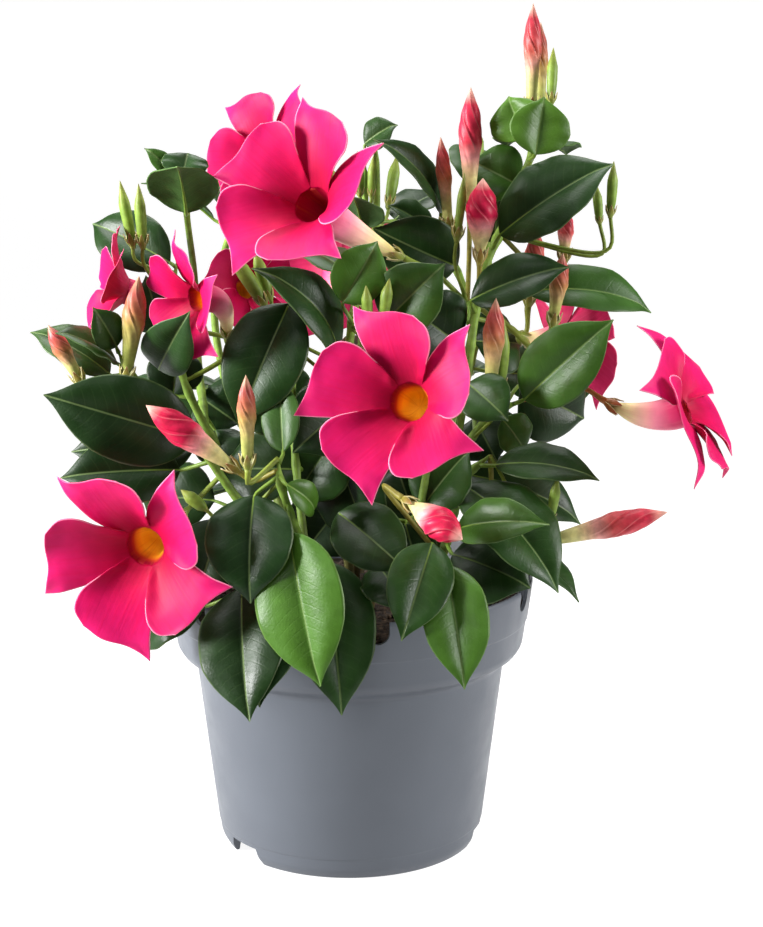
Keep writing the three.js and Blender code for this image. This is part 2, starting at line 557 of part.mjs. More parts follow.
// place on a petal: row from the throat to the edge, v from the bulge (-1) to the cusp (1)
function petalPoint(f, index, row, v) {
  const across = (axis) =>
    ((1 - v) * PETAL_BULGE_SIDE[row][axis] + (1 + v) * PETAL_CUSP_SIDE[row][axis]) / 2;
  const x = across(0);
  const y = across(1) + PETAL_CROWN[row] * (1 - v * v);
  const reach = Math.hypot(x, y);
  const out = Math.max(0, reach - LOBE_START);
  const angle = radians(f.roll + (360 / PETALS) * index - PETAL_TURN) + Math.atan2(x, y);
  const turn = PINWHEEL * v * THREE.MathUtils.clamp((reach - 14) / 12, 0, 1);
  const rise = FLARE[0] * out + FLARE[1] * out * out + f.cup * out - turn;
  return f.mouth
    .clone()
    .addScaledVector(f.right, f.size * reach * Math.cos(angle))
    .addScaledVector(f.up, f.size * reach * Math.sin(angle))
    .addScaledVector(f.normal, f.size * rise);
}

// ring of the tube square to its bent axis, its points in line with the petals' columns
function tubeRing(f, share, radius, count) {
  const axis = f.tube.getTangentAt(share);
  const side = f.right.clone().addScaledVector(axis, -f.right.dot(axis)).normalize();
  const other = new THREE.Vector3().crossVectors(axis, side);
  const centre = f.tube.getPointAt(share);
  const start = radians(f.roll - PETAL_TURN - 180 / PETALS);
  return Array.from({ length: count }, (_, k) => {
    const angle = start + (2 * Math.PI * k) / count;
    return centre
      .clone()
      .addScaledVector(side, radius * Math.cos(angle))
      .addScaledVector(other, radius * Math.sin(angle));
  });
}

// one corolla: the face of five lobes with its thickness, the hollow throat and the closed foot of the tube
function bloom(row) {
  const f = bloomFrame(row);
  const columns = PETALS * PETAL_COLUMNS;
  const rows = PETAL_CROWN.length;
  const front = [];
  const acrossPetal = (j) => -1 + (2 * j) / PETAL_COLUMNS;
  for (let i = 0; i < FUSED_ROWS; i += 1) {
    for (let k = 0; k < columns; k += 1) {
      front.push(petalPoint(f, Math.floor(k / PETAL_COLUMNS), i, acrossPetal(k % PETAL_COLUMNS)));
    }
  }
  for (let petal = 0; petal < PETALS; petal += 1) {
    for (let i = FUSED_ROWS; i < rows; i += 1) {
      for (let j = 0; j <= PETAL_COLUMNS; j += 1) front.push(petalPoint(f, petal, i, acrossPetal(j)));
    }
  }
  const lobe = (rows - FUSED_ROWS) * (PETAL_COLUMNS + 1);
  const number = (petal, i, j) =>
    i < FUSED_ROWS
      ? i * columns + ((petal * PETAL_COLUMNS + j) % columns)
      : FUSED_ROWS * columns + petal * lobe + (i - FUSED_ROWS) * (PETAL_COLUMNS + 1) + j;
  const triangles = [];
  for (let petal = 0; petal < PETALS; petal += 1) {
    for (let i = 0; i + 1 < rows; i += 1) {
      for (let j = 0; j < PETAL_COLUMNS; j += 1) {
        const [a, b] = [number(petal, i, j), number(petal, i, j + 1)];
        const [c, d] = [number(petal, i + 1, j), number(petal, i + 1, j + 1)];
        triangles.push([a, c, d], [a, d, b]);
      }
    }
  }
  const throat = Array.from({ length: columns }, (_, k) => k);
  const { points, faces } = thickened(front, triangles, PETAL_THICKNESS, new Set(throat));
  const addRing = (corners) => corners.map((p) => points.push(p) - 1);
  const length = f.tube.getLength();
  const rings = [
    addRing([f.tube.getPointAt(SEAT / length)]),
    ...FOOT_PROFILE.map(([height, radius]) => addRing(tubeRing(f, height / length, radius, PETALS))),
    ...TUBE_PROFILE.map(([share, radius]) => addRing(tubeRing(f, share, radius * f.size, PETALS))),
    throat.map((k) => k + front.length),
  ];
  for (let i = 1; i < rings.length; i += 1) stitch(faces, rings[i - 1], rings[i]);
  const lining = addRing(tubeRing(f, LINING.share, LINING.radius * f.size, PETALS));
  stitch(faces, throat, lining);
  stitch(faces, lining, addRing([f.tube.getPointAt(LINING.bottom)]));
  return indexed(points, faces);
}

// small closed bud of one green with its twig
function greenBud([, attach, base, tip, width], lines) {
  const [from, foot, end] = [nearestOn(lines, vec(attach)), vec(base), vec(tip)];
  const axis = end.clone().sub(foot);
  const length = axis.length();
  axis.normalize();
  const before = foot.clone().addScaledVector(axis, -0.3 * from.distanceTo(foot));
  const rings = stalkRings([from, before, foot], TWIG.thick, TWIG.thin, 4, TWIG.facet);
  const last = rings[rings.length - 1];
  const swollen = (share, radius) =>
    last.map((p) => {
      const out = p.clone().sub(foot);
      out.addScaledVector(axis, -out.dot(axis)).setLength(radius);
      return foot.clone().addScaledVector(axis, share * length).add(out);
    });
  return loft([...rings, swollen(0.22, 0.42 * width), swollen(0.6, 0.5 * width), [end]]);
}

function leafyStem(name) {
  const lines = stemLines(name);
  const solids = branchesOf(name).map((points, i) => {
    const { thick, thin } = i ? SIDE_STEM : MAIN_STEM;
    return solid(stalk(points, thick, thin));
  });
  for (const row of LEAVES.filter(([stem]) => stem === name)) {
    solids.push(solid(leaf(row, lines)));
  }
  for (const row of [...BLOOMS, ...BUDS].filter(([, stem]) => stem === name)) {
    const [, , attach, base, end] = row;
    const foot = vec(base);
    const isBloom = BLOOMS.includes(row);
    const axis = isBloom ? bloomFrame(row).tube.getTangent(0) : vec(end).sub(foot).normalize();
    solids.push(solid(pedicel(nearestOn(lines, vec(attach)), foot, axis)));
  }
  for (const row of GREEN_BUDS.filter(([stem]) => stem === name)) {
    solids.push(solid(greenBud(row, lines)));
  }
  return joined(solids);
}

// ---- pot and soil ----
function turned(profile) {
  const outline = profile.map(([radius, height]) => new THREE.Vector2(radius, height));
  return new THREE.LatheGeometry(outline, SEGMENTS).rotateX(Math.PI / 2);
}

// takes the same cutter out of a body at several angles round the pot
function cutAround(body, cutter, angles) {
  let left = body;
  for (const angle of angles) left = left.subtract(solid(cutter.clone().rotateZ(radians(angle))));
  return left;
}

function evenly(count, first = 0) {
  return Array.from({ length: count }, (_, k) => first + (360 / count) * k);
}

// flat outline made into a cutter that stands through the wall on the -Y side
function wallCutter(shape, radius, height) {
  const settings = { depth: CUT_LENGTH, bevelEnabled: false, curveSegments: 2 };
  const cutter = new THREE.ExtrudeGeometry(shape, settings);
  return cutter.rotateX(Math.PI / 2).translate(0, CUT_LENGTH / 2 - radius, height);
}

function notchShape() {
  const half = NOTCH.width / 2;
  const above = 4;
  const shape = new THREE.Shape();
  shape.moveTo(-half, above);
  shape.lineTo(-half, half - NOTCH.depth);
  shape.absarc(0, half - NOTCH.depth, half, Math.PI, 2 * Math.PI, false);
  shape.lineTo(half, above);
  shape.closePath();
  return shape;
}

function runOffShape() {
  const half = RUN_OFF.width / 2;
  const below = 2;
  return new THREE.Shape([
    new THREE.Vector2(-half, -below),
    new THREE.Vector2(half, -below),
    new THREE.Vector2(half - RUN_OFF.lean, RUN_OFF.height),
    new THREE.Vector2(RUN_OFF.lean - half, RUN_OFF.height),
  ]);
}

function potSolid() {
  const wall = solid(turned([...POT_OUTSIDE, ...POT_INSIDE]));
  const drain = new THREE.CylinderGeometry(DRAIN.radius, DRAIN.radius, 8, 6).rotateX(Math.PI / 2);
  drain.translate(0, -DRAIN.circle, DRAIN.height);
  const notch = wallCutter(notchShape(), RIM.radius, RIM.height);
  const notched = cutAround(wall, notch, evenly(NOTCH.count, NOTCH.firstAngle));
  const footed = cutAround(notched, wallCutter(runOffShape(), RUN_OFF.radius, 0), RUN_OFF.angles);
  return cutAround(footed, drain, evenly(DRAIN.count));
}

function soilSolid() {
  const bed = POT_INSIDE.filter(([, height]) => height < SOIL.edgeHeight);
  const bottom = bed.reverse().map(([radius, height]) => [Math.max(0, radius - GAP), height + GAP]);
  const inner = POT_INSIDE.map(([radius, height]) => [height, radius]).reverse();
  const edge = reading(inner, SOIL.edgeHeight - SOIL.bevel) - GAP;
  const shoulder = [[edge, SOIL.edgeHeight - SOIL.bevel], [edge - SOIL.crumble, SOIL.edgeHeight]];
  const top = [...shoulder, [0, SOIL.crownHeight]];
  let soil = solid(turned([...bottom, ...top]));
  for (const [[[x, y]]] of Object.values(STEMS)) {
    const hole = new THREE.CylinderGeometry(SOIL.holeRadius, SOIL.holeRadius, 2 * SOIL.holeDepth, 6);
    soil = soil.subtract(solid(hole.rotateX(Math.PI / 2).translate(x, y, SOIL.crownHeight)));
  }
  return soil;
}

// ---- assembly ----
const FINISHES = {
  pot: { color: 0x7a7f8a, roughness: 0.45 },
  soil: { color: 0x2b221c, roughness: 1 },
  foliage: { color: 0x27491b, roughness: 0.4 },
  youngFoliage: { color: 0x4c8528, roughness: 0.42 },
  petal: { color: 0xff2f86, roughness: 0.6 },
  bud: { color: 0xc42748, roughness: 0.5 },
  paleBud: { color: 0xcb8074, roughness: 0.5 },
};
const YOUNG_STEMS = ['left', 'front', 'low'];
const PALE_BUDS = ['salmon', 'right_low'];

function piece(name, body, finish) {
  const material = new THREE.MeshStandardMaterial({ ...finish, metalness: 0 });
  const mesh = new THREE.Mesh(geometryOf(body), material);
  mesh.name = name;
  return mesh;
}

const plant = new THREE.Group();
plant.name = 'mandevilla';
plant.add(piece('pot', potSolid(), FINISHES.pot), piece('soil', soilSolid(), FINISHES.soil));
for (const name of Object.keys(STEMS)) {
  const finish = YOUNG_STEMS.includes(name) ? FINISHES.youngFoliage : FINISHES.foliage;
  plant.add(piece(`stem_${name}`, leafyStem(name), finish));
}
for (const row of BLOOMS) plant.add(piece(`flower_${row[0]}`, solid(bloom(row)), FINISHES.petal));
for (const [name, , , foot, tip, width] of BUDS) {
  const finish = PALE_BUDS.includes(name) ? FINISHES.paleBud : FINISHES.bud;
  plant.add(piece(`bud_${name}`, solid(loft(budRings(vec(foot), vec(tip), width))), finish));
}

export default plant;
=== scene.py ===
"""Mandevilla in a moulded grower's pot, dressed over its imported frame.

Places are in millimetres, in the frame of the part: +Z up, the origin in the middle of the pot's
underside, and the side of the plant with the most blooms looking along -Y.
"""

import logging
import math
from dataclasses import dataclass, field
from enum import Enum, IntEnum
from typing import Sequence

import bpy
import numpy as np
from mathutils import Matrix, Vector, noise


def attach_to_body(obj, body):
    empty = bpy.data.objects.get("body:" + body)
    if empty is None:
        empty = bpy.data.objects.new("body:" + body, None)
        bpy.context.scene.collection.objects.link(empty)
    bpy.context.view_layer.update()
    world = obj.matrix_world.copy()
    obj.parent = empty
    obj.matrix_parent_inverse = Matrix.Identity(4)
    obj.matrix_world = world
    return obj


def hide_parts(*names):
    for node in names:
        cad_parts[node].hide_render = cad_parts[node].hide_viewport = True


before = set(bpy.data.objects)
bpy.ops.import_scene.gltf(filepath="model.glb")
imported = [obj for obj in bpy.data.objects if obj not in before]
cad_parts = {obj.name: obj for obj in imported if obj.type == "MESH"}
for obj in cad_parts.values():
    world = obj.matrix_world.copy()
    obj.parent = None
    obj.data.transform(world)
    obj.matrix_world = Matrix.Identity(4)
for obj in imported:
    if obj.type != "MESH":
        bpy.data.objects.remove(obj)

LOG = logging.getLogger("mandevilla")
MM = 0.001
Point = tuple[int, int, int]
Array = np.ndarray

# ---- layout: every grown piece stands where its solid stands ----
# branches of each stem; a side branch starts on the middle line of the main one
STEMS: dict[str, list[list[Point]]] = {
    "tall": [
        [
            (23, 0, 95), (23, 0, 122), (37, -6, 143), (45, -12, 173), (50, -16, 201),
            (53, -18, 224), (56, -14, 246), (60, -8, 266), (68, -2, 285), (76, 0, 305),
            (82, -2, 321), (82, -2, 328),
        ],
        [(55, -15, 239), (52, 2, 258), (45, 13, 275), (41, 19, 289)],
    ],
    "right": [
        [
            (29, -8, 95), (29, -8, 122), (41, -16, 143), (48, -20, 170), (53, -24, 191),
            (64, -28, 206), (77, -32, 213),
        ],
    ],
    "low": [
        [
            (31, -16, 95), (31, -16, 122), (41, -30, 140), (47, -36, 164), (51, -32, 177),
            (63, -26, 187),
        ],
    ],
    "front": [
        [
            (10, -26, 95), (10, -26, 122), (21, -44, 139), (29, -50, 156), (33, -46, 176),
            (36, -40, 192),
        ],
        [(29, -50, 156), (38, -66, 153), (42, -80, 152)],
    ],
    "mid": [
        [
            (0, -4, 95), (0, -4, 122), (-2, -16, 155), (-3, -24, 194), (-1, -28, 226),
            (2, -26, 248), (5, -12, 268), (7, 0, 292), (7, 4, 316),
        ],
    ],
    "left": [
        [
            (-13, -28, 95), (-13, -28, 122), (-17, -56, 147), (-24, -74, 171), (-28, -76, 186),
            (-29, -73, 195),
        ],
        [(-17, -58, 154), (-22, -50, 181), (-24, -42, 206), (-24, -40, 236), (-25, -43, 256)],
    ],
    "wing": [
        [
            (-21, -12, 95), (-21, -12, 122), (-33, -34, 141), (-44, -44, 164), (-55, -46, 181),
            (-66, -46, 198), (-83, -42, 214), (-95, -38, 226), (-99, -44, 236),
        ],
        [(-33, -34, 141), (-38, -54, 142), (-44, -68, 136), (-45, -78, 136)],
    ],
    "crown": [
        [
            (-13, 4, 95), (-13, 4, 122), (-32, -6, 143), (-50, -10, 172), (-65, -14, 198),
            (-74, -14, 219), (-79, -10, 241), (-79, -6, 259), (-77, -4, 271),
        ],
        [(-65, -10, 198), (-71, 20, 228), (-72, 24, 260), (-73, 4, 291), (-74, 6, 307)],
    ],
    "back_right": [
        [(26, 22, 95), (26, 23, 122), (40, 38, 165), (56, 54, 210), (66, 60, 256), (62, 52, 296)],
    ],
    "back_left": [
        [
            (-22, 24, 95), (-22, 25, 122), (-40, 40, 162), (-60, 54, 204), (-66, 58, 246),
            (-56, 48, 284),
        ],
    ],
    "back_mid": [
        [(2, 14, 95), (2, 14, 122), (2, 32, 180), (6, 40, 236), (12, 40, 286), (12, 34, 322)],
    ],
    "back_low": [
        [(4, 38, 95), (4, 39, 122), (6, 62, 150), (8, 84, 166), (10, 104, 172)],
    ],
}
# stem, base, tip, width, azimuth and elevation of the face, arch (%), fold (degrees), youth (0 to 10)
LEAVES: list[tuple] = [
    ("tall", (67, -14, 284), (115, -22, 316), 36, -5, 40, 6, 10, 1),
    ("tall", (82, -15, 319), (86, -12, 344), 28, 9, -5, -4, 8, 8),
    ("tall", (77, -7, 325), (70, -2, 344), 26, -32, 14, -6, 8, 8),
    ("tall", (85, -2, 321), (100, 30, 318), 26, 1, 80, 5, 10, 4),
    ("tall", (81, -2, 324), (71, 25, 322), 24, 0, 80, 5, 10, 4),
    ("tall", (77, 7, 304), (55, 16, 315), 28, 0, 10, 5, 8, 5),
    ("tall", (66, 6, 278), (70, 20, 310), 24, -28, 13, 5, 8, 3),
    ("tall", (54, -23, 256), (96, -32, 272), 25, 5, 40, 7, 10, 1),
    ("tall", (42, 14, 292), (12, -11, 326), 22, 5, 50, 10, 12, 1),
    ("tall", (39, 13, 283), (18, 2, 296), 20, 0, 50, 3, 10, 2),
    ("tall", (49, 5, 268), (11, -4, 286), 34, -32, 11, 6, 10, 1),
    ("tall", (80, 0, 257), (139, 12, 247), 26, -19, 42, 13, 12, 4),
    ("right", (77, -37, 214), (113, -52, 251), 32, -5, 18, 5, 12, 6),
    ("right", (79, 8, 213), (110, 20, 195), 40, 0, 8, 5, 5, 1),
    ("right", (69, -13, 201), (80, -10, 185), 22, 37, 13, 5, 8, 6),
    ("right", (52, -42, 222), (69, -54, 208), 24, -11, 31, 8, 10, 3),
    ("low", (65, -33, 184), (110, -44, 180), 23, 0, 55, 10, 10, 2),
    ("low", (52, -11, 175), (107, -4, 151), 32, 17, 50, 10, 10, 2),
    ("low", (51, -39, 176), (91, -69, 136), 38, 24, 33, 12, 10, 2),
    ("low", (47, -59, 161), (84, -86, 170), 22, 4, 33, 10, 12, 6),
    ("low", (46, -44, 146), (79, -62, 136), 42, 0, 35, 8, 6, 1),
    ("front", (42, -82, 151), (49, -108, 105), 29, 5, 10, 5, 12, 7),
    ("front", (-4, -62, 169), (26, -84, 148), 30, 0, 30, 8, 8, 2),
    ("front", (25, -58, 163), (31, -55, 139), 22, 0, 20, 8, 8, 1),
    ("front", (13, -66, 147), (26, -90, 133), 26, 0, 30, 8, 8, 2),
    ("front", (36, -76, 159), (23, -107, 126), 28, 0, 18, 6, 8, 2),
    ("mid", (-2, -49, 258), (13, -46, 284), 24, 9, 13, 5, 10, 6),
    ("mid", (16, -44, 249), (41, -54, 275), 30, 10, 22, 6, 10, 4),
    ("mid", (-4, -38, 234), (-39, -55, 274), 28, 18, 48, 17, 10, 1),
    ("mid", (2, -36, 214), (-23, -58, 195), 36, 0, 15, 5, 8, 0),
    ("tall", (49, -12, 235), (24, -20, 254), 36, 0, 15, 5, 8, 0),
    ("left", (-24, -89, 167), (-11, -114, 108), 40, -16, 6, 2, 8, 7),
    ("left", (-9, -68, 149), (-2, -100, 91), 36, 5, 18, 8, 8, 1),
    ("left", (-39, -77, 180), (-40, -98, 139), 38, -7, 20, 11, 10, 0),
    ("left", (-25, -44, 257), (-47, -58, 206), 36, -5, 16, 6, 8, 1),
    ("left", (-27, -69, 197), (-29, -53, 226), 18, -19, 9, 1, 6, 4),
    ("left", (-25, -83, 186), (-14, -68, 170), 14, 7, 35, 16, 8, 8),
    ("wing", (-66, -50, 199), (-128, -66, 221), 38, 0, 12, 6, 8, 1),
    ("wing", (-69, -30, 190), (-124, -26, 189), 34, 0, 30, 6, 8, 0),
    ("wing", (-74, -39, 183), (-125, -49, 182), 32, 0, 28, 6, 8, 0),
    ("wing", (-100, -41, 231), (-123, -57, 247), 24, -11, 64, 6, 8, 4),
    ("wing", (-106, -23, 223), (-141, -19, 242), 26, 0, 62, 8, 8, 4),
    ("wing", (-99, -49, 239), (-107, -58, 257), 16, 9, 30, 6, 8, 4),
    ("wing", (-45, -73, 139), (-40, -113, 93), 38, -10, 10, 6, 8, 1),
    ("wing", (-34, -64, 137), (-36, -108, 98), 34, -3, -18, 5, 8, 0),
    ("wing", (-62, -60, 127), (-91, -50, 105), 29, -32, 41, 22, 8, 1),
    ("crown", (-81, 3, 270), (-119, 25, 286), 28, -22, 32, 8, 8, 1),
    ("crown", (-72, -8, 293), (-72, -44, 316), 32, 0, 60, 6, 5, 5),
    ("crown", (-83, -11, 240), (-89, -22, 266), 24, -6, 32, 6, 8, 2),
    ("crown", (-83, -34, 227), (-66, -69, 256), 24, 10, 20, 6, 8, 1),
    ("crown", (-79, -13, 212), (-77, -6, 234), 26, 0, 10, 6, 8, 0),
    ("mid", (6, -4, 286), (2, -24, 302), 24, 0, 60, 5, 8, 2),
    ("mid", (7, 4, 323), (21, 0, 332), 16, 0, 35, 5, 8, 3),
    ("crown", (-78, 14, 307), (-92, 12, 321), 10, 0, 41, 5, 8, 5),
    ("crown", (-75, 8, 308), (-73, 16, 319), 22, 0, 20, 6, 8, 1),
    ("tall", (57, 5, 234), (80, 25, 230), 34, -16, 22, 1, 8, 1),
    ("mid", (-6, -29, 195), (-25, -29, 167), 36, -4, 28, 4, 8, 2),
    ("mid", (-4, -28, 187), (12, -33, 147), 38, -34, 6, 6, 8, 0),
    ("front", (32, -47, 167), (53, -40, 192), 30, -28, 21, 5, 8, 3),
    ("left", (-21, -30, 204), (-44, -26, 221), 36, 0, 25, 5, 8, 1),
    ("left", (-21, -34, 182), (-58, -23, 179), 34, 0, 30, 7, 8, 2),
    ("wing", (-61, -16, 164), (-96, -4, 162), 34, 0, 35, 6, 8, 1),
    ("crown", (-69, 2, 198), (-108, 20, 195), 34, 0, 30, 6, 8, 2),
    ("low", (54, 0, 152), (99, 16, 130), 36, 0, 40, 8, 8, 0),
    ("wing", (-56, -40, 161), (-66, -62, 128), 32, 0, 30, 6, 8, 1),
    ("crown", (-61, -8, 195), (-55, -20, 179), 24, 0, 30, 6, 8, 0),
    ("mid", (-3, -14, 162), (-21, -26, 141), 36, 0, 25, 6, 8, 0),
    ("crown", (-69, 6, 208), (-51, 2, 196), 34, 0, 15, 5, 8, 0),
    ("right", (57, 1, 199), (67, -10, 181), 34, -6, 21, 5, 8, 0),
    ("front", (31, -28, 154), (21, -16, 181), 36, 0, 15, 5, 8, 0),
    ("back_right", (47, 42, 161), (88, 66, 139), 34, 120, 50, 8, 10, 3),
    ("back_right", (70, 58, 211), (122, 80, 200), 34, 66, 14, 8, 10, 1),
    ("back_right", (59, 63, 210), (74, 116, 201), 36, 165, 50, 8, 10, 2),
    ("back_right", (71, 54, 292), (107, 54, 309), 26, 90, 50, 8, 10, 1),
    ("back_right", (61, 62, 299), (54, 91, 320), 26, -170, 50, 8, 10, 2),
    ("back_left", (-47, 43, 158), (-90, 63, 136), 34, -115, 50, 8, 10, 0),
    ("back_left", (-42, 49, 160), (-45, 99, 140), 36, -175, 50, 9, 10, 3),
    ("back_left", (-70, 52, 204), (-123, 49, 199), 34, -85, 50, 8, 10, 1),
    ("back_left", (-62, 63, 202), (-77, 116, 193), 36, -165, 50, 8, 10, 2),
    ("back_left", (-65, 52, 286), (-98, 46, 304), 26, -81, 55, 7, 10, 1),
    ("back_left", (-55, 58, 287), (-58, 90, 309), 26, 183, 52, 7, 10, 2),
    ("back_mid", (6, 47, 221), (19, 95, 217), 34, 165, 50, 8, 10, 0),
    ("back_mid", (-1, 49, 259), (-24, 86, 266), 31, -145, 50, 8, 10, 3),
    ("back_mid", (21, 47, 286), (46, 82, 297), 28, 140, 50, 5, 10, 1),
    ("back_low", (14, 63, 146), (58, 81, 117), 34, 100, 50, 8, 10, 2),
    ("back_low", (14, 90, 161), (49, 112, 132), 34, 125, 50, 8, 10, 1),
    ("back_low", (2, 88, 161), (-32, 112, 132), 34, -125, 50, 8, 10, 2),
    ("back_low", (10, 110, 166), (10, 147, 129), 36, 180, 50, 8, 10, 0),
    ("right", (60, -9, 146), (105, -25, 120), 36, 73, 61, 8, 10, 3),
    ("crown", (-52, -1, 146), (-98, -5, 118), 36, -85, 50, 8, 10, 1),
]
# name, stem, where the stalk leaves it, foot, throat, azimuth, elevation, roll, cup (degrees), size (%)
BLOOMS: list[tuple] = [
    ("front", "front", (36, -40, 191), (33, -52, 209), (21, -88, 222), -20, 16, -24, 0, 100),
    ("low", "wing", (-55, -46, 181), (-72, -44, 165), (-87, -76, 156), -19, -6, -11, 9, 105),
    ("crest", "tall", (51, -6, 256), (24, -16, 274), (-15, -42, 299), -33, 28, -43, 17, 99),
    ("crest_back", "mid", (7, 4, 311), (-6, 36, 306), (-36, 24, 316), -32, 20, 70, 3, 80),
    ("side", "right", (77, -32, 213), (113, -36, 213), (146, -44, 211), 69, 28, 146, -10, 86),
    ("left", "crown", (-74, -14, 219), (-54, -18, 239), (-65, -44, 259), -52, -6, 99, 4, 70),
    ("left_back", "crown", (-70, 20, 237), (-37, 28, 236), (-47, 8, 258), 32, 20, -38, 0, 62),
    ("far_left", "crown", (-80, -6, 251), (-82, 2, 250), (-99, -14, 259), -76, 16, 113, 12, 66),
    ("back_right", "tall", (56, -14, 246), (78, 10, 236), (100, 34, 231), 120, 10, 30, 0, 84),
    ("back_top", "back_mid", (10, 40, 262), (4, 56, 246), (-6, 86, 256), 190, 12, 10, 4, 98),
]
# name, stem, where the stalk leaves it, foot, tip, width, ripeness (0 to 10)
BUDS: list[tuple] = [
    ("top_a", "tall", (82, -2, 327), (81, -2, 337), (81, -2, 384), 8, 7),
    ("top_b", "tall", (81, -2, 317), (86, 8, 335), (85, 5, 376), 6.5, 2),
    ("peak", "tall", (53, -6, 254), (54, -2, 293), (54, -2, 348), 10.5, 9),
    ("slim", "tall", (48, 6, 267), (45, 4, 284), (41, 4, 326), 7, 5),
    ("fat", "tall", (56, -12, 253), (58, -16, 272), (59, -18, 309), 14, 10),
    ("twin", "right", (60, -26, 203), (62, -40, 215), (64, -40, 259), 9.5, 3),
    ("right_a", "tall", (76, 8, 252), (82, 14, 249), (86, 16, 284), 9.5, 5),
    ("right_b", "tall", (76, -8, 253), (91, -12, 243), (95, -14, 276), 8.5, 3),
    ("right_c", "tall", (68, -4, 283), (97, 4, 270), (98, 4, 294), 7.5, 8),
    ("salmon", "left", (-29, -74, 189), (-46, -70, 189), (-84, -74, 218), 13, 10),
    ("upright", "left", (-29, -73, 194), (-41, -84, 193), (-41, -88, 233), 8, 2),
    ("low_red", "front", (38, -66, 153), (24, -76, 178), (48, -98, 166), 14, 10),
    ("right_low", "low", (63, -26, 187), (87, -22, 146), (143, -26, 161), 11.5, 8),
    ("far_a", "wing", (-95, -38, 226), (-95, -52, 225), (-88, -54, 270), 10, 1),
    ("far_b", "wing", (-83, -42, 214), (-116, -38, 221), (-130, -38, 247), 8, 4),
]
# stem, where the twig leaves it, foot, tip, width
GREEN_BUDS: list[tuple] = [
    ("right", (54, -26, 193), (66, -34, 217), (68, -32, 249), 7.5),
    ("low", (63, -26, 187), (89, -40, 160), (92, -42, 181), 5),
    ("crown", (-76, -6, 265), (-97, -2, 278), (-102, -2, 307), 5.5),
    ("crown", (-79, -6, 254), (-92, -6, 278), (-93, -8, 306), 5.5),
    ("mid", (-1, -28, 226), (-36, -34, 255), (-51, -34, 279), 7),
    ("mid", (-2, -27, 216), (-34, -28, 257), (-41, -28, 279), 6),
    ("tall", (78, -2, 311), (89, -8, 341), (90, -4, 365), 5),
    ("tall", (76, -4, 281), (112, -4, 288), (110, -4, 306), 4.5),
    ("tall", (76, -4, 281), (116, -10, 292), (117, -10, 316), 5),
    ("tall", (53, -4, 254), (48, -14, 282), (51, -15, 311), 4.2),
    ("mid", (6, 0, 293), (5, -2, 300), (4, -2, 320), 5),
    ("mid", (7, -2, 286), (10, -4, 300), (11, -4, 318), 4.5),
    ("mid", (7, -26, 243), (9, -52, 250), (8, -54, 266), 5),
    ("mid", (1, -26, 233), (15, -52, 251), (18, -54, 269), 5.5),
    ("wing", (-91, -40, 221), (-112, -38, 200), (-125, -38, 213), 4),
    ("left", (-28, -78, 185), (-60, -66, 171), (-71, -66, 180), 6),
    ("back_mid", (12, 36, 280), (18, 50, 292), (22, 56, 316), 6),
    ("back_left", (-56, 48, 284), (-58, 50, 296), (-62, 54, 322), 7),
    ("back_right", (62, 52, 296), (60, 56, 306), (60, 62, 330), 7),
]


# ---- plain geometry ----
UP = np.array([0.0, 0.0, 1.0])


def vec(values: Sequence[float]) -> Array:
    """A place or direction as an array of floats."""
    return np.array(values, float)


def unit(v: Array) -> Array:
    """The same direction at length one, along the last axis."""
    return v / np.maximum(np.linalg.norm(v, axis=-1, keepdims=True), 1e-9)


def facing(azimuth: float, elevation: float) -> Array:
    """Direction that looks azimuth degrees round from -Y towards +X and elevation degrees up."""
    a, e = math.radians(azimuth), math.radians(elevation)
    return vec([math.sin(a) * math.cos(e), -math.cos(a) * math.cos(e), math.sin(e)])


def ease(x: Array | float, low: float, high: float) -> Array | float:
    """Smooth step from 0 at low to 1 at high."""
    t = np.clip((np.asarray(x, float) - low) / (high - low), 0.0, 1.0)
    return t * t * (3.0 - 2.0 * t)


def reading(table: Sequence[Sequence[float]], at: Array | float) -> Array | float:
    """Value of a table of (place, value) pairs on a smooth curve that never overshoots.

    Args:
        table: pairs in rising order of place.
        at: one place or an array of places.

    Returns:
        The value or values there.
    """
    xs, ys = np.array(table, float).T
    steps = np.diff(xs)
    slopes = np.diff(ys) / steps
    tangents = np.zeros_like(ys)
    tangents[0], tangents[-1] = slopes[0], slopes[-1]
    same = slopes[:-1] * slopes[1:] > 0
    tangents[1:-1][same] = (2 * slopes[:-1] * slopes[1:] / (slopes[:-1] + slopes[1:] + 1e-12))[same]
    at = np.clip(at, xs[0], xs[-1])
    i = np.clip(np.searchsorted(xs, at, side="right") - 1, 0, len(steps) - 1)
    h = steps[i]
    t = (at - xs[i]) / h
    return (
        (2 * t**3 - 3 * t**2 + 1) * ys[i]
        + (t**3 - 2 * t**2 + t) * h * tangents[i]
        + (3 * t**2 - 2 * t**3) * ys[i + 1]
        + (t**3 - t**2) * h * tangents[i + 1]
    )


def bezier(points: Sequence[Array], t: Array) -> Array:
    """Places on a quadratic Bezier curve at shares t."""
    t = np.asarray(t, float)[..., None]
    return (1 - t) ** 2 * points[0] + 2 * t * (1 - t) * points[1] + t**2 * points[2]


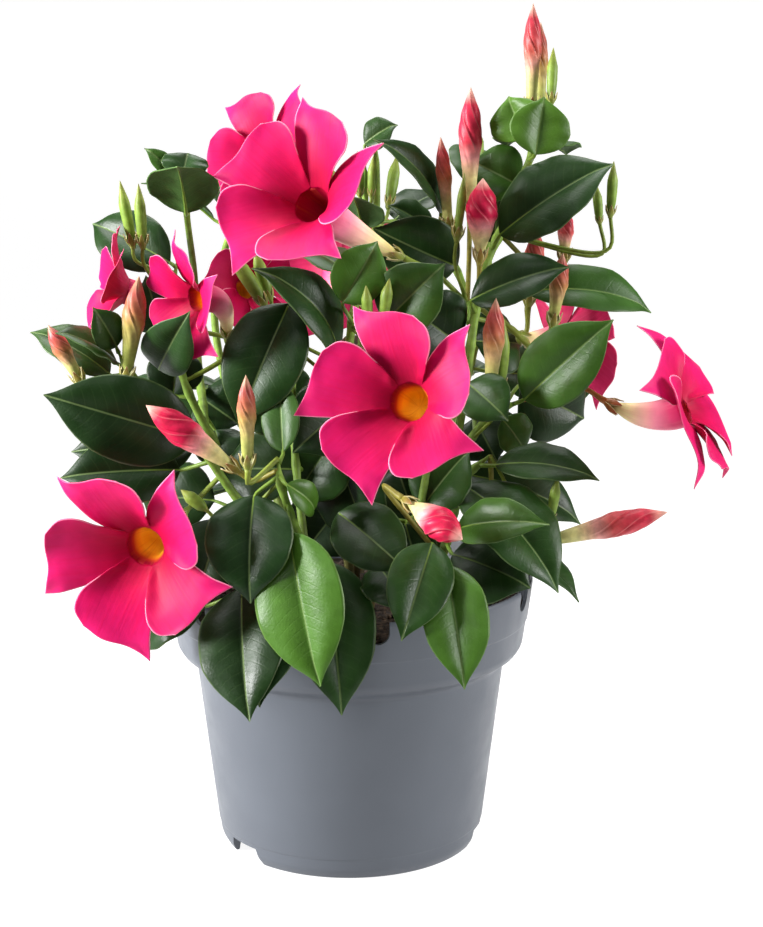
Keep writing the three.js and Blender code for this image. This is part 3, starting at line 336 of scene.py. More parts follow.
def smooth_line(points: Sequence[Array], step: float) -> Array:
    """Centripetal Catmull-Rom line through points, sampled evenly.

    Args:
        points: places that the line goes through.
        step: distance between samples in millimetres.

    Returns:
        The samples, first and last points included.
    """
    knots = [np.asarray(p, float) for p in points]
    knots = [2 * knots[0] - knots[1], *knots, 2 * knots[-1] - knots[-2]]
    line = [knots[1]]
    for x0, x1, x2, x3 in zip(knots, knots[1:], knots[2:], knots[3:]):
        d0, d1, d2 = (math.sqrt(np.linalg.norm(b - a)) for a, b in ((x0, x1), (x1, x2), (x2, x3)))
        m1 = ((x1 - x0) / d0 - (x2 - x0) / (d0 + d1) + (x2 - x1) / d1) * d1
        m2 = ((x2 - x1) / d1 - (x3 - x1) / (d1 + d2) + (x3 - x2) / d2) * d1
        for t in np.linspace(0, 1, 25)[1:]:
            line.append(
                (2 * t**3 - 3 * t**2 + 1) * x1
                + (t**3 - 2 * t**2 + t) * m1
                + (3 * t**2 - 2 * t**3) * x2
                + (t**3 - t**2) * m2
            )
    line = np.array(line)
    run = np.concatenate([[0], np.cumsum(np.linalg.norm(np.diff(line, axis=0), axis=1))])
    marks = np.linspace(0, run[-1], max(2, round(run[-1] / step) + 1))
    return np.stack([np.interp(marks, run, line[:, k]) for k in range(3)], axis=1)


def nearest(line: Array, point: Array) -> Array:
    """The sample of a line that lies nearest to a point."""
    return line[np.argmin(np.linalg.norm(line - point, axis=1))]


def axis_frame(axis: Array, reference: Array = UP) -> tuple[Array, Array]:
    """Two directions square to an axis and to each other."""
    if abs(float(axis @ reference)) > 0.95:
        reference = vec([1, 0, 0])
    side = unit(np.cross(reference, axis))
    return side, np.cross(axis, side)


def spokes(turn: Array, side: Array, other: Array) -> Array:
    """Directions at angles round an axis, from two directions square to it."""
    return np.cos(turn)[..., None] * side + np.sin(turn)[..., None] * other


def tapered(count: int) -> Array:
    """Shares from 0 to 1, closer together at both ends."""
    return (1 - np.cos(np.linspace(0, math.pi, count))) / 2


# ---- skins ----
@dataclass
class Skin:
    """Vertices, faces and paint of one piece, gathered part by part before they become its mesh."""

    points: list[Array] = field(default_factory=list)
    faces: list[tuple[int, ...]] = field(default_factory=list)
    slots: list[int] = field(default_factory=list)
    paint: list[Array] = field(default_factory=list)
    layout: list[Array] = field(default_factory=list)
    count: int = 0

    def add(
        self,
        points: Array,
        faces: Sequence[Sequence[int]],
        slot: int,
        paint: Array,
        layout: Array | None = None,
    ) -> None:
        """Takes in one closed part.

        Args:
            points: its vertices in millimetres.
            faces: corner numbers, counted from its own first vertex.
            slot: number of its finish in the piece.
            paint: four values for each vertex, or four for all of them.
            layout: place of each vertex on its own flat pattern, in millimetres.
        """
        n = len(points)
        self.points.append(points)
        self.faces.extend(tuple(int(k) + self.count for k in f) for f in faces)
        self.slots.extend([slot] * len(faces))
        self.paint.append(np.broadcast_to(paint, (n, 4)))
        self.layout.append(np.zeros((n, 2)) if layout is None else layout)
        self.count += n

    def piece(
        self, name: str, finishes: Sequence[bpy.types.Material], node: str | None
    ) -> bpy.types.Object:
        """Makes the piece's object, which rides on the part's one body.

        Args:
            name: plain name of the piece.
            finishes: its materials in the order of the slot numbers.
            node: the solid that it stands for, if any.

        Returns:
            The finished object.
        """
        mesh = bpy.data.meshes.new(name)
        mesh.from_pydata((np.concatenate(self.points) * MM).tolist(), [], self.faces)
        for finish in finishes:
            mesh.materials.append(finish)
        mesh.polygons.foreach_set("material_index", self.slots)
        mesh.polygons.foreach_set("use_smooth", [True] * len(self.faces))
        paint = mesh.attributes.new("paint", "FLOAT_COLOR", "POINT")
        paint.data.foreach_set("color", np.concatenate(self.paint).astype(float).ravel())
        corners = np.zeros(len(mesh.loops), int)
        mesh.loops.foreach_get("vertex_index", corners)
        layout = np.concatenate(self.layout)[corners] * PATTERN_SCALE + vec([0.5, 0.1])
        mesh.uv_layers.new(name="pattern").data.foreach_set("uv", layout.ravel())
        mesh.update()
        made = bpy.data.objects.new(name, mesh)
        bpy.context.scene.collection.objects.link(made)
        return placed(made, node)


PATTERN_SCALE = 0.01  # pattern places per millimetre, so that 10 cm fill the unit square


def placed(made: bpy.types.Object, node: str | None) -> bpy.types.Object:
    """Lets a finished object ride on the part and stand for its solid."""
    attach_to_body(made, "root")
    if node:
        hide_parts(node)
    LOG.info("%s: %d faces", made.name, len(made.data.polygons))
    return made


def grid_faces(rows: int, columns: int, first: int = 0, flip: bool = False) -> list[tuple[int, ...]]:
    """Four-cornered faces over a grid of vertices counted row by row."""
    i, j = np.meshgrid(np.arange(rows - 1), np.arange(columns - 1), indexing="ij")
    a = (first + i * columns + j).ravel()
    quads = np.stack([a, a + columns, a + columns + 1, a + 1], axis=1)
    return [tuple(q) for q in (quads[:, ::-1] if flip else quads).tolist()]


def grid_normals(grid: Array) -> Array:
    """Directions square to a sheet of vertices in rows and columns."""
    return unit(np.cross(np.gradient(grid, axis=0), np.gradient(grid, axis=1)))


def add_sheet(
    skin: Skin, grid: Array, thickness: Array | float, slots: tuple[int, int], paint: Array, layout: Array
) -> None:
    """Adds a closed sheet: the grid is its face, and its back lies behind it.

    Args:
        skin: the piece that takes it.
        grid: vertices in rows and columns; rows cross columns towards the face's side.
        thickness: one value, or one for each vertex.
        slots: finish of the face and of the back.
        paint: four values for each vertex.
        layout: flat place of each vertex in millimetres.
    """
    rows, columns = grid.shape[:2]
    depth = np.broadcast_to(thickness, (rows, columns))[..., None]
    back = grid - grid_normals(grid) * depth
    n = rows * columns
    face = grid_faces(rows, columns)
    reverse = grid_faces(rows, columns, n, flip=True)
    number = np.arange(n).reshape(rows, columns)
    rim = np.concatenate([number[0, :-1], number[:-1, -1], number[-1, :0:-1], number[:0:-1, 0]])
    after = np.roll(rim, -1)
    edge = np.stack([rim, after, after + n, rim + n], axis=1).tolist()
    points = np.concatenate([grid.reshape(-1, 3), back.reshape(-1, 3)])
    both = np.concatenate([paint.reshape(-1, 4)] * 2)
    flat = np.concatenate([layout.reshape(-1, 2)] * 2)
    skin.add(points, [], slots[0], both, flat)
    start = skin.count - len(points)
    for faces, slot in ((face, slots[0]), (reverse, slots[1]), (edge, slots[1])):
        skin.faces.extend(tuple(int(k) + start for k in f) for f in faces)
        skin.slots.extend([slot] * len(faces))


def add_rings(skin: Skin, rings: Array, slot: int, paint: Array, layout: Array | None = None) -> None:
    """Adds a closed body over rings of vertices, each end drawn to its middle.

    Args:
        skin: the piece that takes it.
        rings: vertices as [ring, corner, axis]; corners run anticlockwise seen from the last ring.
        slot: number of the finish.
        paint: four values for each vertex, as [ring, corner, value].
        layout: flat places, as [ring, corner, axis].
    """
    count, sides = rings.shape[:2]
    i, j = np.meshgrid(np.arange(count - 1), np.arange(sides), indexing="ij")
    a, b = (i * sides + j).ravel(), (i * sides + (j + 1) % sides).ravel()
    faces = np.stack([a, b, b + sides, a + sides], axis=1).tolist()
    low, high = count * sides, count * sides + 1
    last = (count - 1) * sides
    faces += [[low, (j + 1) % sides, j] for j in range(sides)]
    faces += [[high, last + j, last + (j + 1) % sides] for j in range(sides)]
    ends = np.stack([rings[0].mean(0), rings[-1].mean(0)])
    points = np.concatenate([rings.reshape(-1, 3), ends])
    tint = np.concatenate([paint.reshape(-1, 4), [paint[0].mean(0), paint[-1].mean(0)]])
    flat = None
    if layout is not None:
        flat = np.concatenate([layout.reshape(-1, 2), [layout[0].mean(0), layout[-1].mean(0)]])
    skin.add(points, faces, slot, tint, flat)


def line_rings(line: Array, radii: Array, sides: int) -> Array:
    """Round rings square to a line, carried along it without twist."""
    tangents = unit(np.gradient(line, axis=0))
    side = axis_frame(tangents[0])[0]
    turn = np.linspace(0, 2 * math.pi, sides, endpoint=False)
    rings = []
    for at, axis, radius in zip(line, tangents, radii):
        side = unit(side - axis * (side @ axis))
        other = np.cross(axis, side)
        rings.append(at + radius * spokes(turn, side, other))
    return np.array(rings)


def add_tube(skin: Skin, line: Array, radii: Array | float, sides: int, slot: int, paint: Array) -> None:
    """Adds a closed round tube along a line; paint gives four values for each ring."""
    radii = np.broadcast_to(radii, len(line))
    tint = np.broadcast_to(np.asarray(paint, float), (len(line), 4))
    add_rings(skin, line_rings(line, radii, sides), slot, np.repeat(tint[:, None], sides, axis=1))


# ---- finishes ----
def linear(code: str, alpha: float = 1.0) -> tuple[float, float, float, float]:
    """Linear colour of an sRGB hex value."""
    parts = [int(code[k : k + 2], 16) / 255 for k in (1, 3, 5)]
    return (*(c / 12.92 if c <= 0.04045 else ((c + 0.055) / 1.055) ** 2.4 for c in parts), alpha)


def add_node(
    tree: bpy.types.NodeTree, kind: str, settings: dict[str, object] | None = None, links: dict | None = None
) -> bpy.types.Node:
    """Adds a node with its settings and its links.

    Args:
        tree: node tree of a material.
        kind: Blender's name for the node.
        settings: properties of the node; stops gives a colour ramp's places and colours.
        links: values or output sockets for the node's inputs, by name or number.

    Returns:
        The new node.
    """
    made = tree.nodes.new(kind)
    for name, value in (settings or {}).items():
        if name != "stops":
            setattr(made, name, value)
            continue
        band = made.color_ramp.elements
        while len(band) < len(value):
            band.new(1.0)
        for stop, (place, colour) in zip(band, value):
            stop.position = place
            stop.color = linear(colour) if isinstance(colour, str) else (colour, colour, colour, 1.0)
    for name, value in (links or {}).items():
        if isinstance(value, bpy.types.NodeSocket):
            tree.links.new(value, made.inputs[name])
        else:
            made.inputs[name].default_value = value
    return made


MATH, RAMP, RANGE = "ShaderNodeMath", "ShaderNodeValToRGB", "ShaderNodeMapRange"
BLEND, TONE = "ShaderNodeMix", "ShaderNodeHueSaturation"
TIMES, TIMES_PLUS = {"operation": "MULTIPLY"}, {"operation": "MULTIPLY_ADD"}
MIX = {"data_type": "RGBA"}
MIX_FACTOR, MIX_A, MIX_B, MIX_OUT = 0, 6, 7, 2


@dataclass(frozen=True)
class Finish:
    """A material: what the real one is, and how its surface came about."""

    name: str
    roughness: float
    bump: float = 0.0

    def colour(self, tree: bpy.types.NodeTree) -> tuple:
        """Sockets for the base colour, the roughness and the bump height; None leaves one out."""
        raise NotImplementedError

    def shader(self) -> dict[str, object]:
        """Settings that are the same all over the surface."""
        return {"Specular IOR Level": 0.22}

    def build(self) -> bpy.types.Material:
        """Makes the material."""
        made = bpy.data.materials.new(self.name)
        made.use_nodes = True
        tree = made.node_tree
        surface = next(n for n in tree.nodes if n.type == "BSDF_PRINCIPLED")
        surface.inputs["Roughness"].default_value = self.roughness
        for name, value in self.shader().items():
            surface.inputs[name].default_value = value
        colour, roughness, height = self.colour(tree)
        tree.links.new(colour, surface.inputs["Base Color"])
        if roughness is not None:
            tree.links.new(roughness, surface.inputs["Roughness"])
        if height is not None:
            links = {"Strength": 1.0, "Distance": self.bump * MM, "Height": height}
            relief = add_node(tree, "ShaderNodeBump", links=links)
            tree.links.new(relief.outputs[0], surface.inputs["Normal"])
        return made

    def paint(self, tree: bpy.types.NodeTree) -> tuple:
        """The four values painted on the piece's vertices."""
        values = add_node(tree, "ShaderNodeAttribute", {"attribute_name": "paint"})
        parts = add_node(tree, "ShaderNodeSeparateColor", links={0: values.outputs["Color"]})
        return (*parts.outputs, values.outputs["Alpha"])

    def place(self, tree: bpy.types.NodeTree) -> bpy.types.NodeSocket:
        """Place on the piece, in metres."""
        return add_node(tree, "ShaderNodeTexCoord").outputs["Object"]

    def blotches(self, tree: bpy.types.NodeTree, size: float, detail: float = 2.0) -> bpy.types.NodeSocket:
        """Soft noise with features of a given size in millimetres."""
        links = {"Vector": self.place(tree), "Scale": 1 / (size * MM), "Detail": detail}
        return add_node(tree, "ShaderNodeTexNoise", links=links).outputs[0]


class LeafSide(Enum):
    """Which face of a blade a finish is for."""

    TOP = "top"
    UNDER = "under"


LEAF_COLOURS = {
    LeafSide.TOP: [(0.0, "#10260A"), (0.3, "#1D370F"), (0.6, "#2F4F14"), (0.8, "#3A5C18"), (1.0, "#557724")],
    LeafSide.UNDER: [(0.0, "#293F22"), (0.3, "#344D29"), (0.6, "#44642F"), (0.8, "#567636"), (1.0, "#678740")],
}


@dataclass(frozen=True)
class LeafBlade(Finish):
    """Living leaf under a waxy cuticle: dark and glossy above, paler and duller below.

    A pale midrib, side veins 5 mm apart that bow towards the tip, and a thin pale margin.
    """

    side: LeafSide = LeafSide.TOP
    vein_spacing: float = 5.0

    def shader(self) -> dict[str, object]:
        """Cuticle gloss, stronger on the top face than below."""
        top = self.side is LeafSide.TOP
        return {"IOR": 1.45, "Specular IOR Level": 0.24 if top else 0.12}

    def colour(self, tree: bpy.types.NodeTree) -> tuple:
        """Colour by youth, lightened along veins, midrib and margin."""
        youth, across, tone, _ = self.paint(tree)
        pattern = add_node(tree, "ShaderNodeUVMap", {"uv_map": "pattern"}).outputs[0]
        flat = add_node(tree, "ShaderNodeSeparateXYZ", links={0: pattern})
        offset = add_node(tree, MATH, {"operation": "SUBTRACT"}, {0: flat.outputs[0], 1: 0.5})
        aside = add_node(tree, MATH, {"operation": "ABSOLUTE"}, {0: offset.outputs[0]}).outputs[0]
        bow = add_node(tree, MATH, TIMES, {0: aside, 1: aside}).outputs[0]
        lean = add_node(tree, MATH, TIMES_PLUS, {0: aside, 1: -0.5, 2: flat.outputs[1]})
        bent = add_node(tree, MATH, TIMES_PLUS, {0: bow, 1: -1.6, 2: lean.outputs[0]})
        spacing = self.vein_spacing * PATTERN_SCALE
        phase = add_node(tree, MATH, {"operation": "DIVIDE"}, {0: bent.outputs[0], 1: spacing})
        swing = add_node(tree, MATH, {"operation": "PINGPONG"}, {0: phase.outputs[0], 1: 0.5})
        line = add_node(tree, RANGE, {}, {0: swing.outputs[0], 1: 0.0, 2: 0.1, 3: 1.0, 4: 0.0})
        fade = add_node(tree, RANGE, {}, {0: across, 1: 0.5, 2: 0.95, 3: 1.0, 4: 0.0})
        veins = add_node(tree, MATH, TIMES, {0: line.outputs[0], 1: fade.outputs[0]}).outputs[0]
        rib_width = 0.55 * PATTERN_SCALE
        rib = add_node(tree, RANGE, {}, {0: aside, 1: rib_width / 3, 2: rib_width, 3: 1.0, 4: 0.0})
        rib = rib.outputs[0]
        margin = add_node(tree, RANGE, {}, {0: across, 1: 0.955, 2: 0.99, 3: 0.0, 4: 1.0}).outputs[0]
        base = add_node(tree, RAMP, {"stops": LEAF_COLOURS[self.side]}, {0: youth}).outputs[0]
        patches = self.blotches(tree, 11.0, 3.0)
        shade = add_node(tree, RANGE, {}, {0: patches, 1: 0.3, 2: 0.75, 3: 0.82, 4: 1.3})
        own = add_node(tree, MATH, TIMES_PLUS, {0: tone, 1: 0.5, 2: 0.75})
        value = add_node(tree, MATH, TIMES, {0: shade.outputs[0], 1: own.outputs[0]}).outputs[0]
        varied = add_node(tree, TONE, links={"Value": value, "Color": base}).outputs[0]
        weights = {LeafSide.TOP: (0.04, 0.4, 0.2), LeafSide.UNDER: (0.14, 0.5, 0.12)}[self.side]
        painted = varied
        for share, mask, colour in zip(weights, (veins, rib, margin), ("#617945", "#7D935B", "#81925E")):
            amount = add_node(tree, MATH, TIMES, {0: mask, 1: share}).outputs[0]
            links = {MIX_FACTOR: amount, MIX_A: painted, MIX_B: linear(colour)}
            painted = add_node(tree, BLEND, MIX, links).outputs[MIX_OUT]
        dull = {0: patches, 1: 0.3, 2: 0.7, 3: self.roughness - 0.06, 4: self.roughness + 0.1}
        sheen = add_node(tree, RANGE, {}, dull).outputs[0]
        sign = -0.3 if self.side is LeafSide.TOP else 0.5
        cells = self.blotches(tree, 1.1, 2.0)
        quilt = add_node(tree, MATH, TIMES_PLUS, {0: veins, 1: sign, 2: cells}).outputs[0]
        relief = add_node(tree, MATH, TIMES_PLUS, {0: rib, 1: sign, 2: quilt}).outputs[0]
        return painted, sheen, relief


@dataclass(frozen=True)
class GreenBark(Finish):
    """Rind of a climbing shoot: brighter olive-green at its young ends, going brown and corky near the soil."""

    def colour(self, tree: bpy.types.NodeTree) -> tuple:
        """Colour by youth, with short pale lenticels."""
        youth, _, _, _ = self.paint(tree)
        stops = [(0.0, "#40331F"), (0.25, "#4A4C25"), (0.6, "#526B24"), (1.0, "#6C8734")]
        base = add_node(tree, RAMP, {"stops": stops}, {0: youth}).outputs[0]
        streaks = self.blotches(tree, 4.0, 4.0)
        shade = add_node(tree, RANGE, {}, {0: streaks, 1: 0.3, 2: 0.7, 3: 0.7, 4: 1.35}).outputs[0]
        varied = add_node(tree, TONE, links={"Value": shade, "Color": base}).outputs[0]
        links = {"Vector": self.place(tree), "Scale": 1 / (2.4 * MM)}
        cells = add_node(tree, "ShaderNodeTexVoronoi", links=links).outputs[0]
        spots = add_node(tree, RANGE, {}, {0: cells, 1: 0.1, 2: 0.2, 3: 0.5, 4: 0.0}).outputs[0]
        links = {MIX_FACTOR: spots, MIX_A: varied, MIX_B: linear("#877D55")}
        return add_node(tree, BLEND, MIX, links).outputs[MIX_OUT], None, streaks


@dataclass(frozen=True)
class SepalRind(Finish):
    """Pedicels, sepals and green buds: smooth young rind, flushed brown at the tips, pale at sepal edges."""

    def colour(self, tree: bpy.types.NodeTree) -> tuple:
        """Colour by the share of the length, the warmth of the shoot and the nearness of an edge."""
        along, across, warmth, _ = self.paint(tree)
        stops = [(0.0, "#546D21"), (0.5, "#708935"), (0.85, "#777233"), (1.0, "#7B5033")]
        green = add_node(tree, RAMP, {"stops": stops}, {0: along}).outputs[0]
        stops = [(0.0, "#7F5025"), (0.5, "#965B29"), (1.0, "#894128")]
        brown = add_node(tree, RAMP, {"stops": stops}, {0: along}).outputs[0]
        links = {MIX_FACTOR: warmth, MIX_A: green, MIX_B: brown}
        rind = add_node(tree, BLEND, MIX, links).outputs[MIX_OUT]
        streaks = self.blotches(tree, 3.0, 3.0)
        shade = add_node(tree, RANGE, {}, {0: streaks, 1: 0.3, 2: 0.7, 3: 0.78, 4: 1.25}).outputs[0]
        varied = add_node(tree, TONE, links={"Value": shade, "Color": rind}).outputs[0]
        edge = add_node(tree, RANGE, {}, {0: across, 1: 0.75, 2: 1.0, 3: 0.0, 4: 0.75}).outputs[0]
        links = {MIX_FACTOR: edge, MIX_A: varied, MIX_B: linear("#C3BD8D")}
        return add_node(tree, BLEND, MIX, links).outputs[MIX_OUT], None, streaks


@dataclass(frozen=True)
class Petal(Finish):
    """Living petal: velvety hot pink, crimson round the throat, partly its own colour and partly painted shade
    of the funnel, with fine streaks out from it.
    """

    stops: tuple = ()
    edge: str = "#FFC3DA"
    streak: str = "#B40038"

    def shader(self) -> dict[str, object]:
        """Dull face of tiny cones, and the light that glows through it."""
        return {
            "Specular IOR Level": 0.08,
            "Subsurface Weight": 0.06,
            "Subsurface Radius": (1.0, 0.25, 0.4),
            "Subsurface Scale": 1.5 * MM,
        }

    def colour(self, tree: bpy.types.NodeTree) -> tuple:
        """Colour by the distance from the throat, streaked along the petal, paler at its rim."""
        reach, across, tone, _ = self.paint(tree)
        base = add_node(tree, RAMP, {"stops": list(self.stops)}, {0: reach}).outputs[0]
        pattern = add_node(tree, "ShaderNodeUVMap", {"uv_map": "pattern"}).outputs[0]
        # streaks about 1 mm wide and 20 mm long
        stretch = {"Vector": pattern, "Scale": (1.0, 0.05, 1.0)}
        lengthwise = add_node(tree, "ShaderNodeMapping", links=stretch).outputs[0]
        links = {"Vector": lengthwise, "Scale": 1 / (1.3 * PATTERN_SCALE), "Detail": 3.0}
        streaks = add_node(tree, "ShaderNodeTexNoise", links=links).outputs[0]
        dark = add_node(tree, RANGE, {}, {0: streaks, 1: 0.5, 2: 0.78, 3: 0.0, 4: 0.4}).outputs[0]
        links = {MIX_FACTOR: dark, MIX_A: base, MIX_B: linear(self.streak)}
        streaked = add_node(tree, BLEND, MIX, links).outputs[MIX_OUT]
        bloom = self.blotches(tree, 9.0, 3.0)
        shade = add_node(tree, RANGE, {}, {0: bloom, 1: 0.3, 2: 0.75, 3: 0.86, 4: 1.12})
        own = add_node(tree, MATH, TIMES_PLUS, {0: tone, 1: 0.24, 2: 0.88})
        value = add_node(tree, MATH, TIMES, {0: shade.outputs[0], 1: own.outputs[0]}).outputs[0]
        varied = add_node(tree, TONE, links={"Value": value, "Color": streaked}).outputs[0]
        rim = add_node(tree, RANGE, {}, {0: across, 1: 0.965, 2: 1.0, 3: 0.0, 4: 0.4}).outputs[0]
        links = {MIX_FACTOR: rim, MIX_A: varied, MIX_B: linear(self.edge)}
        painted = add_node(tree, BLEND, MIX, links).outputs[MIX_OUT]
        return painted, None, streaks


@dataclass(frozen=True)
class BudSkin(Finish):
    """Furled corolla: cream-green tube, crimson folds that wind to the point, each with a pale edge."""

    def colour(self, tree: bpy.types.NodeTree) -> tuple:
        """Colour by height, ripeness and place between two folds."""
        along, fold, ripeness, _ = self.paint(tree)
        stops = [
            (0.0, "#67762E"), (0.3, "#808838"), (0.52, "#8E8A44"), (0.68, "#986442"),
            (0.84, "#8E463A"), (1.0, "#967850"),
        ]  # fmt: skip
        green = add_node(tree, RAMP, {"stops": stops}, {0: along}).outputs[0]
        stops = [
            (0.0, "#A3AA58"), (0.28, "#CFC487"), (0.44, "#D88A8C"), (0.56, "#B81840"),
            (0.86, "#AC1036"), (1.0, "#D0A898"),
        ]  # fmt: skip
        red = add_node(tree, RAMP, {"stops": stops}, {0: along}).outputs[0]
        links = {MIX_FACTOR: ripeness, MIX_A: green, MIX_B: red}
        base = add_node(tree, BLEND, MIX, links).outputs[MIX_OUT]
        mottle = self.blotches(tree, 3.0, 4.0)
        shade = add_node(tree, RANGE, {}, {0: mottle, 1: 0.3, 2: 0.7, 3: 0.78, 4: 1.25}).outputs[0]
        varied = add_node(tree, TONE, links={"Value": shade, "Color": base}).outputs[0]
        hem = add_node(tree, RANGE, {}, {0: fold, 1: 0.84, 2: 0.99, 3: 0.0, 4: 0.3}).outputs[0]
        links = {MIX_FACTOR: hem, MIX_A: varied, MIX_B: linear("#D3B4A8")}
        return add_node(tree, BLEND, MIX, links).outputs[MIX_OUT], None, mottle


@dataclass(frozen=True)
class MouldedPlastic(Finish):
    """Polypropylene, injection moulded: satin grey with a faint orange peel and dull scuffs."""

    tint: str = "#50545B"

    def colour(self, tree: bpy.types.NodeTree) -> tuple:
        """Nearly even grey; scuffs change its gloss more than its colour."""
        flow = self.blotches(tree, 45.0, 3.0)
        shade = add_node(tree, RANGE, {}, {0: flow, 1: 0.3, 2: 0.7, 3: 0.95, 4: 1.05}).outputs[0]
        base = add_node(tree, TONE, links={"Value": shade, "Color": linear(self.tint)}).outputs[0]
        scuffs = self.blotches(tree, 14.0, 6.0)
        dull = {0: scuffs, 1: 0.35, 2: 0.7, 3: self.roughness - 0.04, 4: self.roughness + 0.08}
        gloss = add_node(tree, RANGE, {}, dull).outputs[0]
        return base, gloss, self.blotches(tree, 1.4, 2.0)


@dataclass(frozen=True)
class Peat(Finish):
    """Moist peat: nearly black brown crumb with paler fibres."""

    def colour(self, tree: bpy.types.NodeTree) -> tuple:
        """Brown by fine noise."""
        crumb = self.blotches(tree, 2.2, 6.0)
        stops = [(0.3, "#0F0B08"), (0.5, "#261D16"), (0.68, "#423427"), (0.8, "#6E5C48")]
        return add_node(tree, RAMP, {"stops": stops}, {0: crumb}).outputs[0], None, crumb


@dataclass(frozen=True)
class Perlite(Finish):
    """Expanded volcanic glass: chalky white grains."""

    def colour(self, tree: bpy.types.NodeTree) -> tuple:
        """White, turning grey where the pores sink in: painted shade in their hollows."""
        pores = self.blotches(tree, 0.8, 3.0)
        stops = [(0.3, "#908C84"), (0.55, "#D6D3CC"), (1.0, "#E3E1DC")]
        return add_node(tree, RAMP, {"stops": stops}, {0: pores}).outputs[0], None, pores


# face of a petal from the throat out: the deeper crimson near the throat is partly the petal's own colour,
# partly painted shade of the funnel
PETAL_FRONT = (
    (0.0, "#8C0428"), (0.14, "#9A0432"), (0.3, "#A6063C"),
    (0.5, "#AE0A48"), (0.75, "#B31052"), (1.0, "#BC1C5E"),
)
PETAL_BACK = ((0.0, "#B0455F"), (0.3, "#B0244F"), (0.6, "#B82052"), (1.0, "#C0285C"))
TUBE_OUTSIDE = (
    (0.0, "#98A04C"), (0.14, "#CCBE78"), (0.3, "#F0DDA4"), (0.46, "#F0BBA8"),
    (0.66, "#E8849A"), (0.86, "#D84474"), (1.0, "#BC1C54"),
)
# lining of the tube: the yellow-ochre is the throat's own colour, but its brightest stops are painted glow,
# standing in for light shining through the thin funnel wall
TUBE_INSIDE_PAINTED_GLOW = (
    (0.0, "#C89018"), (0.6, "#FFD23C"), (0.76, "#FFCC36"), (0.84, "#EC9A26"),
    (0.9, "#B83A24"), (0.95, "#8E0A2C"), (1.0, "#8C0428"),
)


@dataclass
class Palette:
    """Every finish of the plant and its pot, made once."""

    leaf_top: bpy.types.Material = field(default_factory=LeafBlade("leaf_cuticle", 0.4, 0.1).build)
    leaf_under: bpy.types.Material = field(
        default_factory=LeafBlade("leaf_underside", 0.6, 0.18, LeafSide.UNDER).build
    )
    bark: bpy.types.Material = field(default_factory=GreenBark("shoot_bark", 0.55, 0.25).build)
    rind: bpy.types.Material = field(default_factory=SepalRind("sepal_rind", 0.45, 0.12).build)
    petal: bpy.types.Material = field(default_factory=Petal("petal_face", 0.5, 0.12, PETAL_FRONT).build)
    petal_back: bpy.types.Material = field(
        default_factory=Petal("petal_back", 0.55, 0.15, PETAL_BACK, "#F6A9C4", "#D63A70").build
    )
    tube: bpy.types.Material = field(
        default_factory=Petal("corolla_tube", 0.45, 0.12, TUBE_OUTSIDE, "#F0D8C0", "#DE7F8C").build
    )
    throat: bpy.types.Material = field(
        default_factory=Petal("corolla_throat", 0.55, 0.1, TUBE_INSIDE_PAINTED_GLOW, "#C4173F", "#B4521A").build
    )
    bud: bpy.types.Material = field(default_factory=BudSkin("furled_bud", 0.42, 0.15).build)
    plastic: bpy.types.Material = field(
        default_factory=MouldedPlastic("moulded_polypropylene", 0.38, 0.02).build
    )
    peat: bpy.types.Material = field(default_factory=Peat("moist_peat", 0.95, 0.9).build)
    perlite: bpy.types.Material = field(default_factory=Perlite("perlite_grain", 0.9, 0.2).build)


# ---- leafy stems ----
class Rind(IntEnum):
    """Order of the finishes on a leafy stem."""

    BARK = 0
    GREEN = 1
    LEAF_TOP = 2
    LEAF_UNDER = 3


LEAF_SEED = 100  # the first leaf's own waves and tone; each further leaf takes the next
ANY_TURN = 6.28  # radians; a random turn lies between 0 and this
LEAF_OUTLINE = (
    (0, 0.04), (0.04, 0.32), (0.14, 0.7), (0.28, 0.93), (0.42, 1),
    (0.6, 0.93), (0.74, 0.72), (0.85, 0.43), (0.92, 0.2), (0.97, 0.07), (1, 0.012),
)  # fmt: skip


